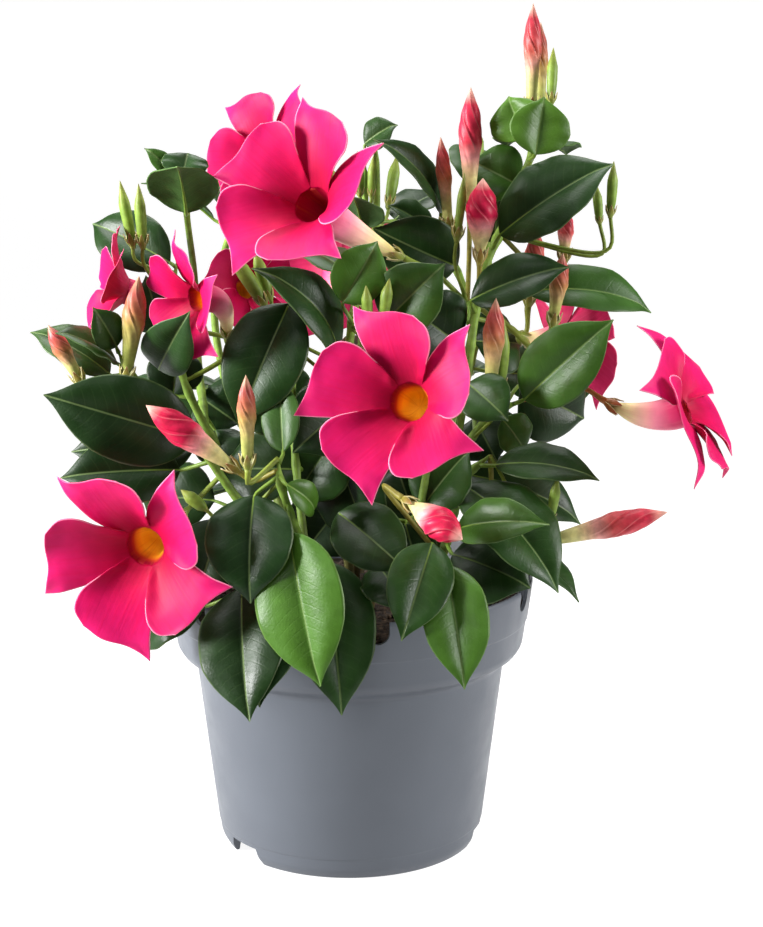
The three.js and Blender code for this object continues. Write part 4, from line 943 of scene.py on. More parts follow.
@dataclass
class Leaf:
    """A pointed blade, folded along its midrib, on a short petiole."""

    stem: str
    base: Point
    tip: Point
    width: float
    azimuth: float
    elevation: float
    arch: float
    fold: float
    youth: float
    rows: int = 25
    columns: tuple[float, ...] = (1, 0.93, 0.78, 0.55, 0.28, 0.07, 0, -0.07, -0.28, -0.55, -0.78, -0.93, -1)
    thickness: float = 0.5
    petiole: float = 0.95
    petiole_reach: float = 6.0

    def add(self, skin: Skin, lines: Array, seed: int) -> None:
        """Adds blade, petiole and midrib to the stem's skin.

        Args:
            skin: skin of the leafy stem.
            lines: middle lines of its branches.
            seed: picks this leaf's own waves and tone.
        """
        draw = np.random.default_rng(seed)
        start, end = vec(self.base), vec(self.tip)
        length = float(np.linalg.norm(end - start))
        along = (end - start) / length
        up = facing(self.azimuth, self.elevation)
        up = unit(up - along * (up @ along))
        side = np.cross(along, up)
        bow = (start + end) / 2 + up * (2 * self.arch * length / 100)
        u = tapered(self.rows)
        middle = bezier((start, bow, end), u)
        half = np.maximum(reading(LEAF_OUTLINE, u) * self.width / 2, 0.2)
        v = vec(self.columns)
        fold = math.radians(self.fold)
        waves = draw.uniform(2.2, 3.6, 2)
        phase = draw.uniform(0, 2 * math.pi, 2)
        which = (v < 0).astype(int)
        wave = np.sin(2 * math.pi * waves[which] * u[:, None] + phase[which])
        swell = 0.13 * np.sin(math.pi * np.abs(v)) + draw.uniform(0.03, 0.055) * wave * np.abs(v) ** 2
        twist = math.radians(draw.uniform(-7, 7)) * (u - 0.5)
        lift = half[:, None] * (math.sin(fold) * np.abs(v) + swell + v * np.sin(twist)[:, None])
        droop = draw.uniform(0.5, 1.8) * ease(u, 0.84, 1.0)
        reach = half[:, None] * math.cos(fold) * v
        grid = middle[:, None] + side * reach[..., None] + up * (lift - droop[:, None])[..., None]
        tone = draw.uniform(0, 1)
        shape = grid.shape[:2]
        paint = np.stack(
            [
                np.full(shape, self.youth / 10 + draw.uniform(-0.03, 0.03)),
                np.broadcast_to(np.abs(v), shape),
                np.full(shape, tone),
                np.broadcast_to(u[:, None], shape),
            ],
            axis=-1,
        )
        layout = np.stack([half[:, None] * v, np.broadcast_to(u[:, None] * length, shape)], axis=-1)
        add_sheet(skin, grid, self.thickness, (Rind.LEAF_TOP, Rind.LEAF_UNDER), paint, layout)
        under = middle - up * (droop[:, None] + self.thickness)
        self.add_petiole(skin, lines, start - along * self.petiole_reach, under, u)

    def add_petiole(self, skin: Skin, lines: Array, aim: Array, under: Array, u: Array) -> None:
        """Adds the petiole, which runs on under the blade as its midrib.

        Args:
            skin: skin of the leafy stem.
            lines: middle lines of its branches.
            aim: place on the petiole's way that picks where it leaves the stem.
            under: line under the middle of the blade.
            u: share of the blade's length for each place of that line.
        """
        ribbed = under[(u > 0.03) & (u < 0.9)]
        line = smooth_line([nearest(lines, aim), under[0], *ribbed[::3]], 3.0)
        share = np.linspace(0, 1, len(line))
        stalk = np.linalg.norm(under[0] - line[0]) / max(np.linalg.norm(under[0] - line[0]) + 40, 1)
        radii = reading(((0, self.petiole * 1.15), (stalk + 0.02, self.petiole * 0.85), (1, 0.22)), share)
        add_tube(skin, line, radii, 8, Rind.GREEN, (0.12, 0, 0, 0))


def add_sepals(skin: Skin, base: Array, axis: Array, warmth: float, size: float = 1.0) -> None:
    """Adds five pointed sepals that clasp the foot of a bud or bloom.

    Args:
        skin: skin of the leafy stem.
        base: foot of the corolla.
        axis: direction that the corolla leaves in.
        warmth: 0 for green, 1 for a brown flush.
        size: share of the full size.
    """
    side, other = axis_frame(axis)
    s = np.linspace(0, 1, 9)
    w = vec([-1, -0.72, -0.3, 0.3, 0.72, 1])
    height = size * (-1.7 + 8.6 * s)
    radius = size * (1.25 + 2.1 * ease(s, 0.02, 0.62) + 0.55 * s**5)
    half = math.radians(43) * (1 - s**1.7) + 0.02
    for k in range(5):
        turn = 2 * math.pi * k / 5 - half[:, None] * w
        spoke = spokes(turn, side, other)
        grid = base + axis * height[:, None, None] + spoke * (radius[:, None] + 0.1 * (k % 2))[..., None]
        shape = grid.shape[:2]
        paint = np.zeros((*shape, 4))
        paint[..., 0] = 0.35 + 0.65 * s[:, None]
        paint[..., 1] = np.abs(w)
        paint[..., 2] = warmth
        add_sheet(skin, grid, 0.4 * size, (Rind.GREEN, Rind.GREEN), paint, np.zeros((*shape, 2)))


@dataclass
class GreenBud:
    """A small closed bud of one green with its twig."""

    stem: str
    attach: Point
    base: Point
    tip: Point
    width: float

    def add(self, skin: Skin, lines: Array) -> None:
        """Adds twig, sepals and furled body to the stem's skin."""
        base, tip = vec(self.base), vec(self.tip)
        length = float(np.linalg.norm(tip - base))
        axis = (tip - base) / length
        start = nearest(lines, vec(self.attach))
        before = base - axis * (0.3 * np.linalg.norm(start - base))
        add_tube(skin, smooth_line([start, before, base + axis], 2.5), 0.85, 8, Rind.GREEN, (0.2, 0, 0.1, 0))
        s = tapered(16)
        shape = ((0, 0.08), (0.12, 0.3), (0.24, 0.42), (0.6, 0.47), (0.85, 0.22), (1, 0.02))
        girth = self.width * reading(shape, s)
        side, other = axis_frame(axis)
        around = np.arange(20) / 20
        fold = (5 * (around + 0.3 * s[:, None])) % 1
        radius = girth[:, None] * (1 + 0.1 * (fold - 0.5) * ease(s, 0.2, 0.5)[:, None])
        turn = 2 * math.pi * around
        spoke = spokes(turn, side, other)
        rings = base + axis * (s * length)[:, None, None] + spoke * radius[..., None]
        paint = np.zeros((*rings.shape[:2], 4))
        paint[..., 0] = 0.15 + 0.6 * s[:, None]
        paint[..., 1] = 0.85 * fold
        add_rings(skin, rings, Rind.GREEN, paint)
        add_sepals(skin, base, axis, 0.1, min(1.0, length / 34))


@dataclass
class LeafyStem:
    """A climbing shoot with all that is one piece with it: leaves, pedicels, sepals and green buds."""

    name: str
    palette: Palette
    main_radius: tuple[float, float] = (2.4, 1.6)
    side_radius: tuple[float, float] = (1.9, 1.35)
    pedicel_radius: float = 1.15

    def branches(self) -> list[Array]:
        """Middle lines of the shoot and its side shoots."""
        main, *others = ([vec(p) for p in points] for points in STEMS[self.name])
        lines = [smooth_line(main, 2.5)]
        for start, *rest in others:
            lines.append(smooth_line([nearest(lines[0], start), *rest], 2.5))
        return lines

    def build(self) -> bpy.types.Object:
        """Builds the whole leafy stem."""
        skin = Skin()
        lines = self.branches()
        every = np.concatenate(lines)
        leaves = [(k, Leaf(*row)) for k, row in enumerate(LEAVES) if row[0] == self.name]
        joints = [nearest(every, vec(leaf.base)) for _, leaf in leaves]
        for k, line in enumerate(lines):
            self.add_shoot(skin, line, self.side_radius if k else self.main_radius, joints)
        for k, leaf in leaves:
            leaf.add(skin, every, LEAF_SEED + k)
        for row in (row for row in BLOOMS if row[1] == self.name):
            bloom = Bloom(*row)
            self.add_pedicel(skin, every, row[2], vec(row[3]), bloom.start(), 1.0 if row[0] == "side" else 0.1)
        for row in (row for row in BUDS if row[1] == self.name):
            bud = FurledBud(*row)
            self.add_pedicel(skin, every, row[2], vec(row[3]), bud.axis(), 0.1 + 0.3 * bud.ripeness / 10)
        for row in (row for row in GREEN_BUDS if row[0] == self.name):
            GreenBud(*row).add(skin, every)
        colours = self.palette
        finishes = [colours.bark, colours.rind, colours.leaf_top, colours.leaf_under]
        return skin.piece(f"leafy_stem_{self.name}", finishes, f"stem_{self.name}")

    def add_shoot(self, skin: Skin, line: Array, ends: tuple[float, float], joints: Sequence[Array]) -> None:
        """Adds one shoot, swollen where leaves leave it and rounded at its end.

        Args:
            skin: skin of the leafy stem.
            line: its middle line.
            ends: radius at its foot and at its end.
            joints: places where leaves leave the stem.
        """
        share = np.linspace(0, 1, len(line))
        radii = ends[0] + (ends[1] - ends[0]) * share
        for joint in joints:
            away = np.linalg.norm(line - joint, axis=1)
            radii = np.maximum(radii, radii + 0.4 * np.exp(-((away / 2.6) ** 2)))
        radii *= 1 - 0.75 * ease(share, 1 - 4 / len(line), 1)
        paint = np.zeros((len(line), 4))
        paint[:, 0] = ease(line[:, 2], 105, 205) * 0.8 + 0.2 * share
        add_tube(skin, line, radii, 12, Rind.BARK, paint)

    def add_pedicel(
        self, skin: Skin, lines: Array, attach: Point, base: Array, axis: Array, warmth: float
    ) -> None:
        """Adds the stalk of a bud or bloom and the sepals at its end.

        Args:
            skin: skin of the leafy stem.
            lines: middle lines of its branches.
            attach: place near which the stalk leaves the stem.
            base: foot of the corolla.
            axis: direction that the corolla leaves in.
            warmth: 0 for green, 1 for a brown flush.
        """
        start = nearest(lines, vec(attach))
        before = base - axis * (0.4 * np.linalg.norm(base - start))
        line = smooth_line([start, before, base - axis * 1.6, base], 2.0)
        radii = self.pedicel_radius + 0.5 * ease(np.linspace(0, 1, len(line)), 0.85, 1)
        paint = np.zeros((len(line), 4))
        paint[:, 0] = np.linspace(0.1, 0.45, len(line))
        paint[:, 2] = warmth
        add_tube(skin, line, radii, 10, Rind.GREEN, paint)
        add_sepals(skin, base, axis, warmth)


# ---- furled buds ----
@dataclass
class FurledBud:
    """A coloured bud: five folds wound round each other to a point."""

    name: str
    stem: str
    attach: Point
    base: Point
    tip: Point
    width: float
    ripeness: float
    sides: int = 70
    rings: int = 48
    turns: float = 0.42

    def axis(self) -> Array:
        """Direction from foot to tip."""
        return unit(vec(self.tip) - vec(self.base))

    def build(self, palette: Palette) -> bpy.types.Object:
        """Builds the furled corolla."""
        base, axis = vec(self.base), self.axis()
        length = float(np.linalg.norm(vec(self.tip) - base))
        s = tapered(self.rings)
        start = 0.6 / length
        s = start + (1 - start) * s
        w = self.width
        shape = [(start, 0.15), (3 / length, 1.1), (6.5 / length, min(2.4, 0.3 * w)), (0.38, 0.36 * w)]
        shape += [(0.6, 0.5 * w), (0.78, 0.41 * w), (0.9, 0.21 * w), (0.97, 0.07 * w), (1, 0.05)]
        girth = reading(shape, s)
        around = np.arange(self.sides) / self.sides
        # every column keeps its place on a fold, and winds up the bud with it
        fold = np.broadcast_to((5 * around) % 1, (self.rings, self.sides))
        step = 0.2 * ease(s, 0.3, 0.55)[:, None] * (fold - 0.62)
        ridge = 0.05 * ease(s, 0.25, 0.45)[:, None] * np.sin(2 * math.pi * fold)
        radius = girth[:, None] * (1 + step + ridge)
        side, other = axis_frame(axis)
        turn = 2 * math.pi * (around - self.turns * ease(s, 0.25, 1.0)[:, None])
        spoke = spokes(turn, side, other)
        rings = base + axis * (s * length)[:, None, None] + spoke * radius[..., None]
        paint = np.zeros((*rings.shape[:2], 4))
        paint[..., 0] = s[:, None]
        paint[..., 1] = fold * ease(s, 0.3, 0.5)[:, None]
        paint[..., 2] = self.ripeness / 10
        skin = Skin()
        add_rings(skin, rings, 0, paint)
        return skin.piece(f"furled_bud_{self.name}", [palette.bud], f"bud_{self.name}")


# ---- open blooms ----
class Corolla(IntEnum):
    """Order of the finishes on a bloom."""

    FACE = 0
    BACK = 1
    TUBE = 2
    THROAT = 3


# outline of one petal, across and out from the throat; its cusp points 25 degrees anticlockwise of its middle
PETAL_BULGE_SIDE = ((-4.9, 6.6), (-10.3, 10.4), (-15.8, 18.6), (-16.2, 27), (-10.5, 33))
PETAL_OUTER_EDGE = ((-10.5, 33), (-2, 35.4), (7, 35.8), (13, 37.2), (18.6, 40))
PETAL_CUSP_SIDE = ((4.9, 6.6), (8.6, 11), (13.2, 19), (16.2, 29), (18.6, 40))
PETAL_FOOT = ((-4.9, 6.6), (0, 8.2), (4.9, 6.6))


# millimetres by which a throat sits to the right of and above the middle of its cusps
HEARTS = {"front": (5.5, 0.0), "low": (2.0, 2.0)}
# breadth of the lobes as a share of the usual one
BREADTH = {"side": 1.5, "crest": 1.08}
# how much of the ochre in a throat is in sight
OCHRE = {"crest": 0.2, "crest_back": 0.3}


def crowded(count: int) -> Array:
    """Shares from 0 to 1, closer together at both ends, where a petal's rim and cusp need it."""
    t = np.linspace(0, 1, count)
    return 0.55 * t + 0.45 * ease(t, 0, 1)


@dataclass
class Bloom:
    """An open corolla: five petals that turn like a pinwheel, on a funnel with a thin foot."""

    name: str
    stem: str
    attach: Point
    base: Point
    throat: Point
    azimuth: float
    elevation: float
    roll: float
    cup: float
    scale: float
    rows: int = 30
    columns: int = 25
    thickness: float = 0.45
    petals: int = 5
    petal_turn: float = 25.0
    lobe_start: float = 8.0
    flare: tuple[float, float] = (0.75, -0.0135)
    pinwheel: float = 3.2
    outer_rings: int = 26
    lining_rings: int = 18

    def frame(self) -> tuple[Array, Array, Array]:
        """The bloom's own right and up, and the direction that it looks."""
        normal = facing(self.azimuth, self.elevation)
        up = unit(UP - normal * normal[2])
        return np.cross(up, normal), up, normal

    def tube(self, t: Array) -> Array:
        """Places on the middle line of the tube, evenly by length."""
        foot, mouth = vec(self.base), vec(self.throat) + self.heart()
        bend = mouth - self.frame()[2] * (0.5 * np.linalg.norm(foot - mouth))
        line = bezier((foot, bend, mouth), np.linspace(0, 1, 60))
        run = np.concatenate([[0], np.cumsum(np.linalg.norm(np.diff(line, axis=0), axis=1))])
        return np.stack([np.interp(np.asarray(t) * run[-1], run, line[:, k]) for k in range(3)], axis=-1)

    def heart(self) -> Array:
        """How far the throat sits off the middle of the five cusps."""
        right, up, _ = self.frame()
        aside, above = HEARTS.get(self.name, (0.0, 0.0))
        return right * aside + up * above

    def start(self) -> Array:
        """Direction in which the tube leaves its foot."""
        return unit(self.tube(0.03) - self.tube(0.0))

    def build(self, palette: Palette) -> bpy.types.Object:
        """Builds petals and tube."""
        skin = Skin()
        draw = np.random.default_rng(sum(map(ord, self.name)))
        for index in range(self.petals):
            self.add_petal(skin, index, draw)
        self.add_tube(skin)
        finishes = [palette.petal, palette.petal_back, palette.tube, palette.throat]
        return skin.piece(f"bloom_{self.name}", finishes, f"flower_{self.name}")

    def flat_petal(self) -> Array:
        """Places of a petal's vertices in the plane of the bloom, spread between its four edges."""
        edges = []
        counts = (self.rows, self.rows, self.columns, self.columns)
        for edge, count in zip((PETAL_BULGE_SIDE, PETAL_CUSP_SIDE, PETAL_FOOT, PETAL_OUTER_EDGE), counts):
            line = smooth_line([vec([*p, 0]) for p in edge], 0.4)[:, :2]
            at = np.linspace(0, 1, len(line))
            edges.append(np.stack([np.interp(crowded(count), at, line[:, k]) for k in (0, 1)], axis=-1))
        bulge, cusp, foot, outer = edges
        s, t = crowded(self.rows)[:, None, None], crowded(self.columns)[None, :, None]
        ruled = (1 - t) * bulge[:, None] + t * cusp[:, None] + (1 - s) * foot[None] + s * outer[None]
        corners = (1 - s) * ((1 - t) * foot[0] + t * foot[-1]) + s * ((1 - t) * outer[0] + t * outer[-1])
        return ruled - corners

    def add_petal(self, skin: Skin, index: int, draw: np.random.Generator) -> None:
        """Adds one petal with its curl and ruffle.

        Args:
            skin: the bloom's skin.
            index: number of the petal, anticlockwise from the roll.
            draw: the bloom's own draws.
        """
        flat = self.flat_petal()
        s, t = crowded(self.rows)[:, None], crowded(self.columns)[None, :]
        v = 2 * t - 1
        broad = BREADTH.get(self.name, 1.0)
        x, y = flat[..., 0] * (1 + (broad - 1) * ease(flat[..., 1], 7, 18)), flat[..., 1]
        reach = np.hypot(x, y)
        out = np.maximum(0, reach - self.lobe_start)
        size = self.scale / 100
        turn = self.pinwheel * v * np.clip((reach - 14) / 12, 0, 1)
        rise = self.flare[0] * out + self.flare[1] * out**2 + math.tan(math.radians(self.cup)) * out - turn
        # the bulging side stands up in a low roll near the throat, and the cusp bends back
        roll = ease(v, -0.35, -1) * ease(s, 0.02, 0.16) * (1 - ease(s, 0.3, 0.62))
        rise += draw.uniform(1.6, 2.6) * roll
        rise -= draw.uniform(1.2, 2.4) * ease(s, 0.72, 1) * ease(v, 0.45, 1)
        rise += draw.uniform(0.3, 0.9) * ease(s, 0.45, 1) * np.sin(2.2 * math.pi * t + draw.uniform(0, ANY_TURN))
        rise += 0.5 * np.sin(math.pi * t) * np.sin(math.pi * s) * draw.uniform(-1, 1)
        ruffle = ease(np.maximum(s, np.abs(v)), 0.8, 1) * ease(s, 0.25, 0.6)
        rise += draw.uniform(0.2, 0.45) * ruffle * np.sin(9 * t + 13 * s + draw.uniform(0, ANY_TURN))
        pull = 1 - 0.13 * roll * (np.abs(x) > 3)
        angle = math.radians(self.roll + 360 / self.petals * index - self.petal_turn) + np.arctan2(x * pull, y)
        right, up, normal = self.frame()
        near = (1 - ease(reach, 6, 38))[..., None]
        grid = (
            vec(self.throat)
            + self.heart() * near
            + right * (size * reach * np.cos(angle))[..., None]
            + up * (size * reach * np.sin(angle))[..., None]
            + normal * (size * rise)[..., None]
        )
        inner = np.minimum(1 - np.abs(v) * ease(s, 0.1, 0.3), 1 - s + 0.02)
        paint = np.stack(np.broadcast_arrays((reach - 6.6) / 34, 1 - inner, draw.uniform(0, 1), s), axis=-1)
        add_sheet(skin, grid, self.thickness * size, (Corolla.FACE, Corolla.BACK), paint, flat)

    def add_tube(self, skin: Skin) -> None:
        """Adds the funnel: its outside from the foot to the mouth, and its lining back down."""
        size = self.scale / 100
        length = float(np.linalg.norm(np.diff(self.tube(np.linspace(0, 1, 60)), axis=0), axis=1).sum())
        outside = [(0.6 / length, 0.3), (3 / length, 1.1), (6.5 / length, 2.5)]
        outside += [(0.34, 5.0 * size), (0.5, 6.5 * size)]
        outside += [(0.7, 7.8 * size), (0.86, 8.6 * size), (0.95, 8.75 * size), (1.0, 8.9 * size)]
        inside = [(0.6, 0.3), (0.615, 2.4 * size), (0.65, 4.4 * size), (0.72, 5.6 * size), (0.82, 6.5 * size)]
        inside += [(0.92, 7.5 * size), (1.0, 8.3 * size)]
        up_share = np.linspace(0.6 / length, 1.0, self.outer_rings)
        down_share = np.linspace(1.0, 0.6, self.lining_rings)
        shares = np.concatenate([up_share, down_share])
        radii = np.concatenate([reading(outside, up_share), reading(inside, down_share)])
        spine = self.tube(shares)
        axes = unit(self.tube(np.minimum(shares + 0.02, 1.0)) - self.tube(shares - 0.02))
        right = self.frame()[0]
        turn = np.linspace(0, 2 * math.pi, 45, endpoint=False)
        rings = []
        for at, axis, radius, share in zip(spine, axes, radii, shares):
            side = unit(right - axis * (right @ axis))
            other = np.cross(axis, side)
            # five shallow grooves run down the tube under the gaps between petals
            grooved = radius * (1 + 0.035 * float(ease(share, 0.4, 0.8)) * np.cos(5 * turn))
            rings.append(at + grooved[:, None] * spokes(turn, side, other))
        rings = np.array(rings)
        paint = np.zeros((*rings.shape[:2], 4))
        paint[..., 0] = shares[:, None]
        lining = paint[len(up_share) :]
        lining[..., 0] = 1 - (1 - lining[..., 0]) * OCHRE.get(self.name, 1.0)
        paint[..., 2] = 0.5
        layout = np.stack(np.broadcast_arrays(turn * 8.0, shares[:, None] * length), axis=-1)
        first = len(skin.faces)
        add_rings(skin, rings, Corolla.TUBE, paint, layout)
        around = len(turn)
        for k in range((self.outer_rings - 1) * around, (len(shares) - 1) * around):
            skin.slots[first + k] = Corolla.THROAT
        for k in range(len(skin.slots) - around, len(skin.slots)):
            skin.slots[k] = Corolla.THROAT


# ---- pot and soil ----
def select_only(made: bpy.types.Object) -> None:
    """Makes one object the active and the only selected one."""
    bpy.ops.object.select_all(action="DESELECT")
    made.select_set(True)
    bpy.context.view_layer.objects.active = made


def apply_modifier(made: bpy.types.Object, kind: str, settings: dict[str, object]) -> None:
    """Adds a modifier with its settings and applies it."""
    select_only(made)
    modifier = made.modifiers.new(kind.lower(), kind)
    for name, value in settings.items():
        setattr(modifier, name, value)
    bpy.ops.object.modifier_apply(modifier=modifier.name)


def settle(made: bpy.types.Object) -> None:
    """Puts an object's place, turn and size into its mesh."""
    select_only(made)
    bpy.ops.object.transform_apply(location=True, rotation=True, scale=True)


def draw_up(line: Sequence[tuple[float, float]]) -> None:
    """Extrudes the selected ring through a profile's radii and heights, in edit mode."""
    radius, height = line[0]
    for wide, high in line[1:]:
        bpy.ops.mesh.extrude_edges_move(TRANSFORM_OT_translate={"value": (0, 0, (high - height) * MM)})
        bpy.ops.transform.resize(value=(wide / radius, wide / radius, 1), center_override=(0.0, 0.0, 0.0))
        radius, height = wide, high


@dataclass(frozen=True)
class Corner:
    """A corner of the pot's profile: its distance from the middle, its height and the radius of its rounding."""

    radius: float
    height: float
    rounding: float = 0.0


@dataclass
class Pot:
    """Moulded grower's pot: standing foot with run-off gaps, tapered wall, shoulder, and a tall rim band."""

    palette: Palette
    sides: int = 180
    outside: tuple[Corner, ...] = (
        Corner(42, 0, 0.8), Corner(44.5, 9, 1.2), Corner(57.2, 9, 0.6), Corner(57.4, 0, 0.4), Corner(59, 0, 0.7),
        Corner(61.4, 4, 1.6), Corner(62.1, 9.4, 0.3), Corner(62.5, 10.1, 0.3), Corner(71.9, 88.2, 2.2),
        Corner(78.4, 92.2, 1.5), Corner(80.4, 95.6, 1.2), Corner(82.1, 107.2, 0.3), Corner(82.7, 107.9, 0.4),
        Corner(84.9, 124.6, 1.0), Corner(84.4, 126, 0.6),
    )  # fmt: skip
    inside: tuple[Corner, ...] = (
        Corner(83.4, 126, 0.5), Corner(80.9, 108.3, 0.6), Corner(78.9, 96.8, 1.0), Corner(70.2, 90.1, 2.0),
        Corner(61.6, 17, 1.5), Corner(57, 10.6, 1.0), Corner(43.3, 10.6, 1.0), Corner(40.8, 1.6, 1.0),
    )  # fmt: skip
    rim_radius: float = 85.0
    rim_height: float = 126.0
    notches: int = 6
    notch_angle: float = 9.0
    notch_width: float = 10.0
    notch_depth: float = 10.0
    run_off_angles: tuple[float, ...] = (-52.0, 77.0, 192.0)
    run_off_width: float = 24.0
    run_off_height: float = 8.0
    run_off_lean: float = 3.0
    foot_radius: float = 60.0
    drains: int = 6
    drain_radius: float = 4.0
    drain_circle: float = 51.0
    drain_height: float = 9.0
    drain_depth: float = 8.0
    cutter_depth: float = 12.0

    def profile(self) -> list[tuple[float, float]]:
        """The closed line round the wall's section, with its corners rounded."""
        corners = [*self.outside, *self.inside]
        line = []
        for k, corner in enumerate(corners):
            here = vec([corner.radius, corner.height])
            before, after = corners[k - 1], corners[(k + 1) % len(corners)]
            one = unit(vec([before.radius, before.height]) - here)
            two = unit(vec([after.radius, after.height]) - here)
            room = corner.rounding
            arc = bezier((here + one * room, here, here + two * room), np.linspace(0, 1, 5 if room > 0.5 else 3))
            line.extend(tuple(p) for p in arc)
        return line

    def build(self) -> bpy.types.Object:
        """Turns the wall up, cuts its openings and shades it smooth, keeping edges sharper than 32 degrees."""
        wall = self.turned()
        for cutter in self.cutters():
            apply_modifier(wall, "BOOLEAN", {"object": cutter, "operation": "DIFFERENCE", "solver": "MANIFOLD"})
            bpy.data.objects.remove(cutter, do_unlink=True)
        select_only(wall)
        bpy.ops.object.shade_smooth_by_angle(angle=math.radians(32))
        wall.data.materials.clear()
        wall.data.materials.append(self.palette.plastic)
        return placed(wall, "pot")

    def turned(self) -> bpy.types.Object:
        """The wall of revolution, drawn up ring by ring from the middle of its underside."""
        line = self.profile()
        first = line[0][0]
        bpy.ops.object.select_all(action="DESELECT")
        bpy.ops.mesh.primitive_circle_add(
            vertices=self.sides, radius=first * MM, fill_type="NOTHING", location=(0, 0, line[0][1] * MM)
        )
        made = bpy.context.object
        made.name = "moulded_pot"
        settle(made)
        bpy.ops.object.mode_set(mode="EDIT")
        bpy.ops.mesh.select_all(action="SELECT")
        draw_up([*line, line[0]])
        bpy.ops.mesh.select_all(action="SELECT")
        bpy.ops.mesh.remove_doubles(threshold=1e-5)
        bpy.ops.mesh.normals_make_consistent(inside=False)
        bpy.ops.object.mode_set(mode="OBJECT")
        return made

    def cutters(self) -> list[bpy.types.Object]:
        """Bodies for the rim's notches, the foot's run-off gaps and the drain holes."""
        notches = [self.notch(k) for k in range(self.notches)]
        gaps = [self.run_off(turn) for turn in self.run_off_angles]
        return notches + gaps + [self.drain(k) for k in range(self.drains)]

    def notch(self, index: int) -> bpy.types.Object:
        """A body with a round bottom that cuts one notch down from the lip."""
        half = self.notch_width / 2
        angle = math.radians(self.notch_angle + 360 / self.notches * index - 90)
        low = self.rim_height + half - self.notch_depth
        bpy.ops.mesh.primitive_cylinder_add(
            vertices=48,
            radius=half * MM,
            depth=self.cutter_depth * MM,
            location=(self.rim_radius * math.cos(angle) * MM, self.rim_radius * math.sin(angle) * MM, low * MM),
            rotation=(math.pi / 2, 0, angle + math.pi / 2),
        )
        cutter = bpy.context.object
        settle(cutter)
        for corner in cutter.data.vertices:
            if corner.co.z > (low + 0.1) * MM:
                corner.co.z += self.notch_depth * MM
        return cutter

    def run_off(self, turn: float) -> bpy.types.Object:
        """A body that leans in towards its top and cuts one gap in the foot."""
        angle = math.radians(turn - 90)
        reach = self.foot_radius + 0.5
        x, y = reach * math.cos(angle) * MM, reach * math.sin(angle) * MM
        bpy.ops.mesh.primitive_cube_add(
            size=1,
            location=(x, y, (self.run_off_height / 2 - 1) * MM),
            rotation=(0, 0, angle + math.pi / 2),
            scale=(self.run_off_width * MM, self.cutter_depth * MM, (self.run_off_height + 2) * MM),
        )
        cutter = bpy.context.object
        settle(cutter)
        bpy.ops.object.mode_set(mode="EDIT")
        bpy.ops.mesh.select_all(action="DESELECT")
        bpy.ops.object.mode_set(mode="OBJECT")
        for corner in cutter.data.vertices:
            corner.select = corner.co.z > self.run_off_height / 2 * MM
        bpy.ops.object.mode_set(mode="EDIT")
        lean = (self.run_off_width - 2 * self.run_off_lean) / self.run_off_width
        bpy.ops.transform.resize(value=(lean, lean, 1), center_override=(x, y, 0.0))
        bpy.ops.object.mode_set(mode="OBJECT")
        return cutter

    def drain(self, index: int) -> bpy.types.Object:
        """A round body that cuts one drain hole."""
        angle = 2 * math.pi * index / self.drains - math.pi / 2
        x, y = self.drain_circle * math.cos(angle) * MM, self.drain_circle * math.sin(angle) * MM
        bpy.ops.mesh.primitive_cylinder_add(
            vertices=32,
            radius=self.drain_radius * MM,
            depth=self.drain_depth * MM,
            location=(x, y, self.drain_height * MM),
        )
        return bpy.context.object


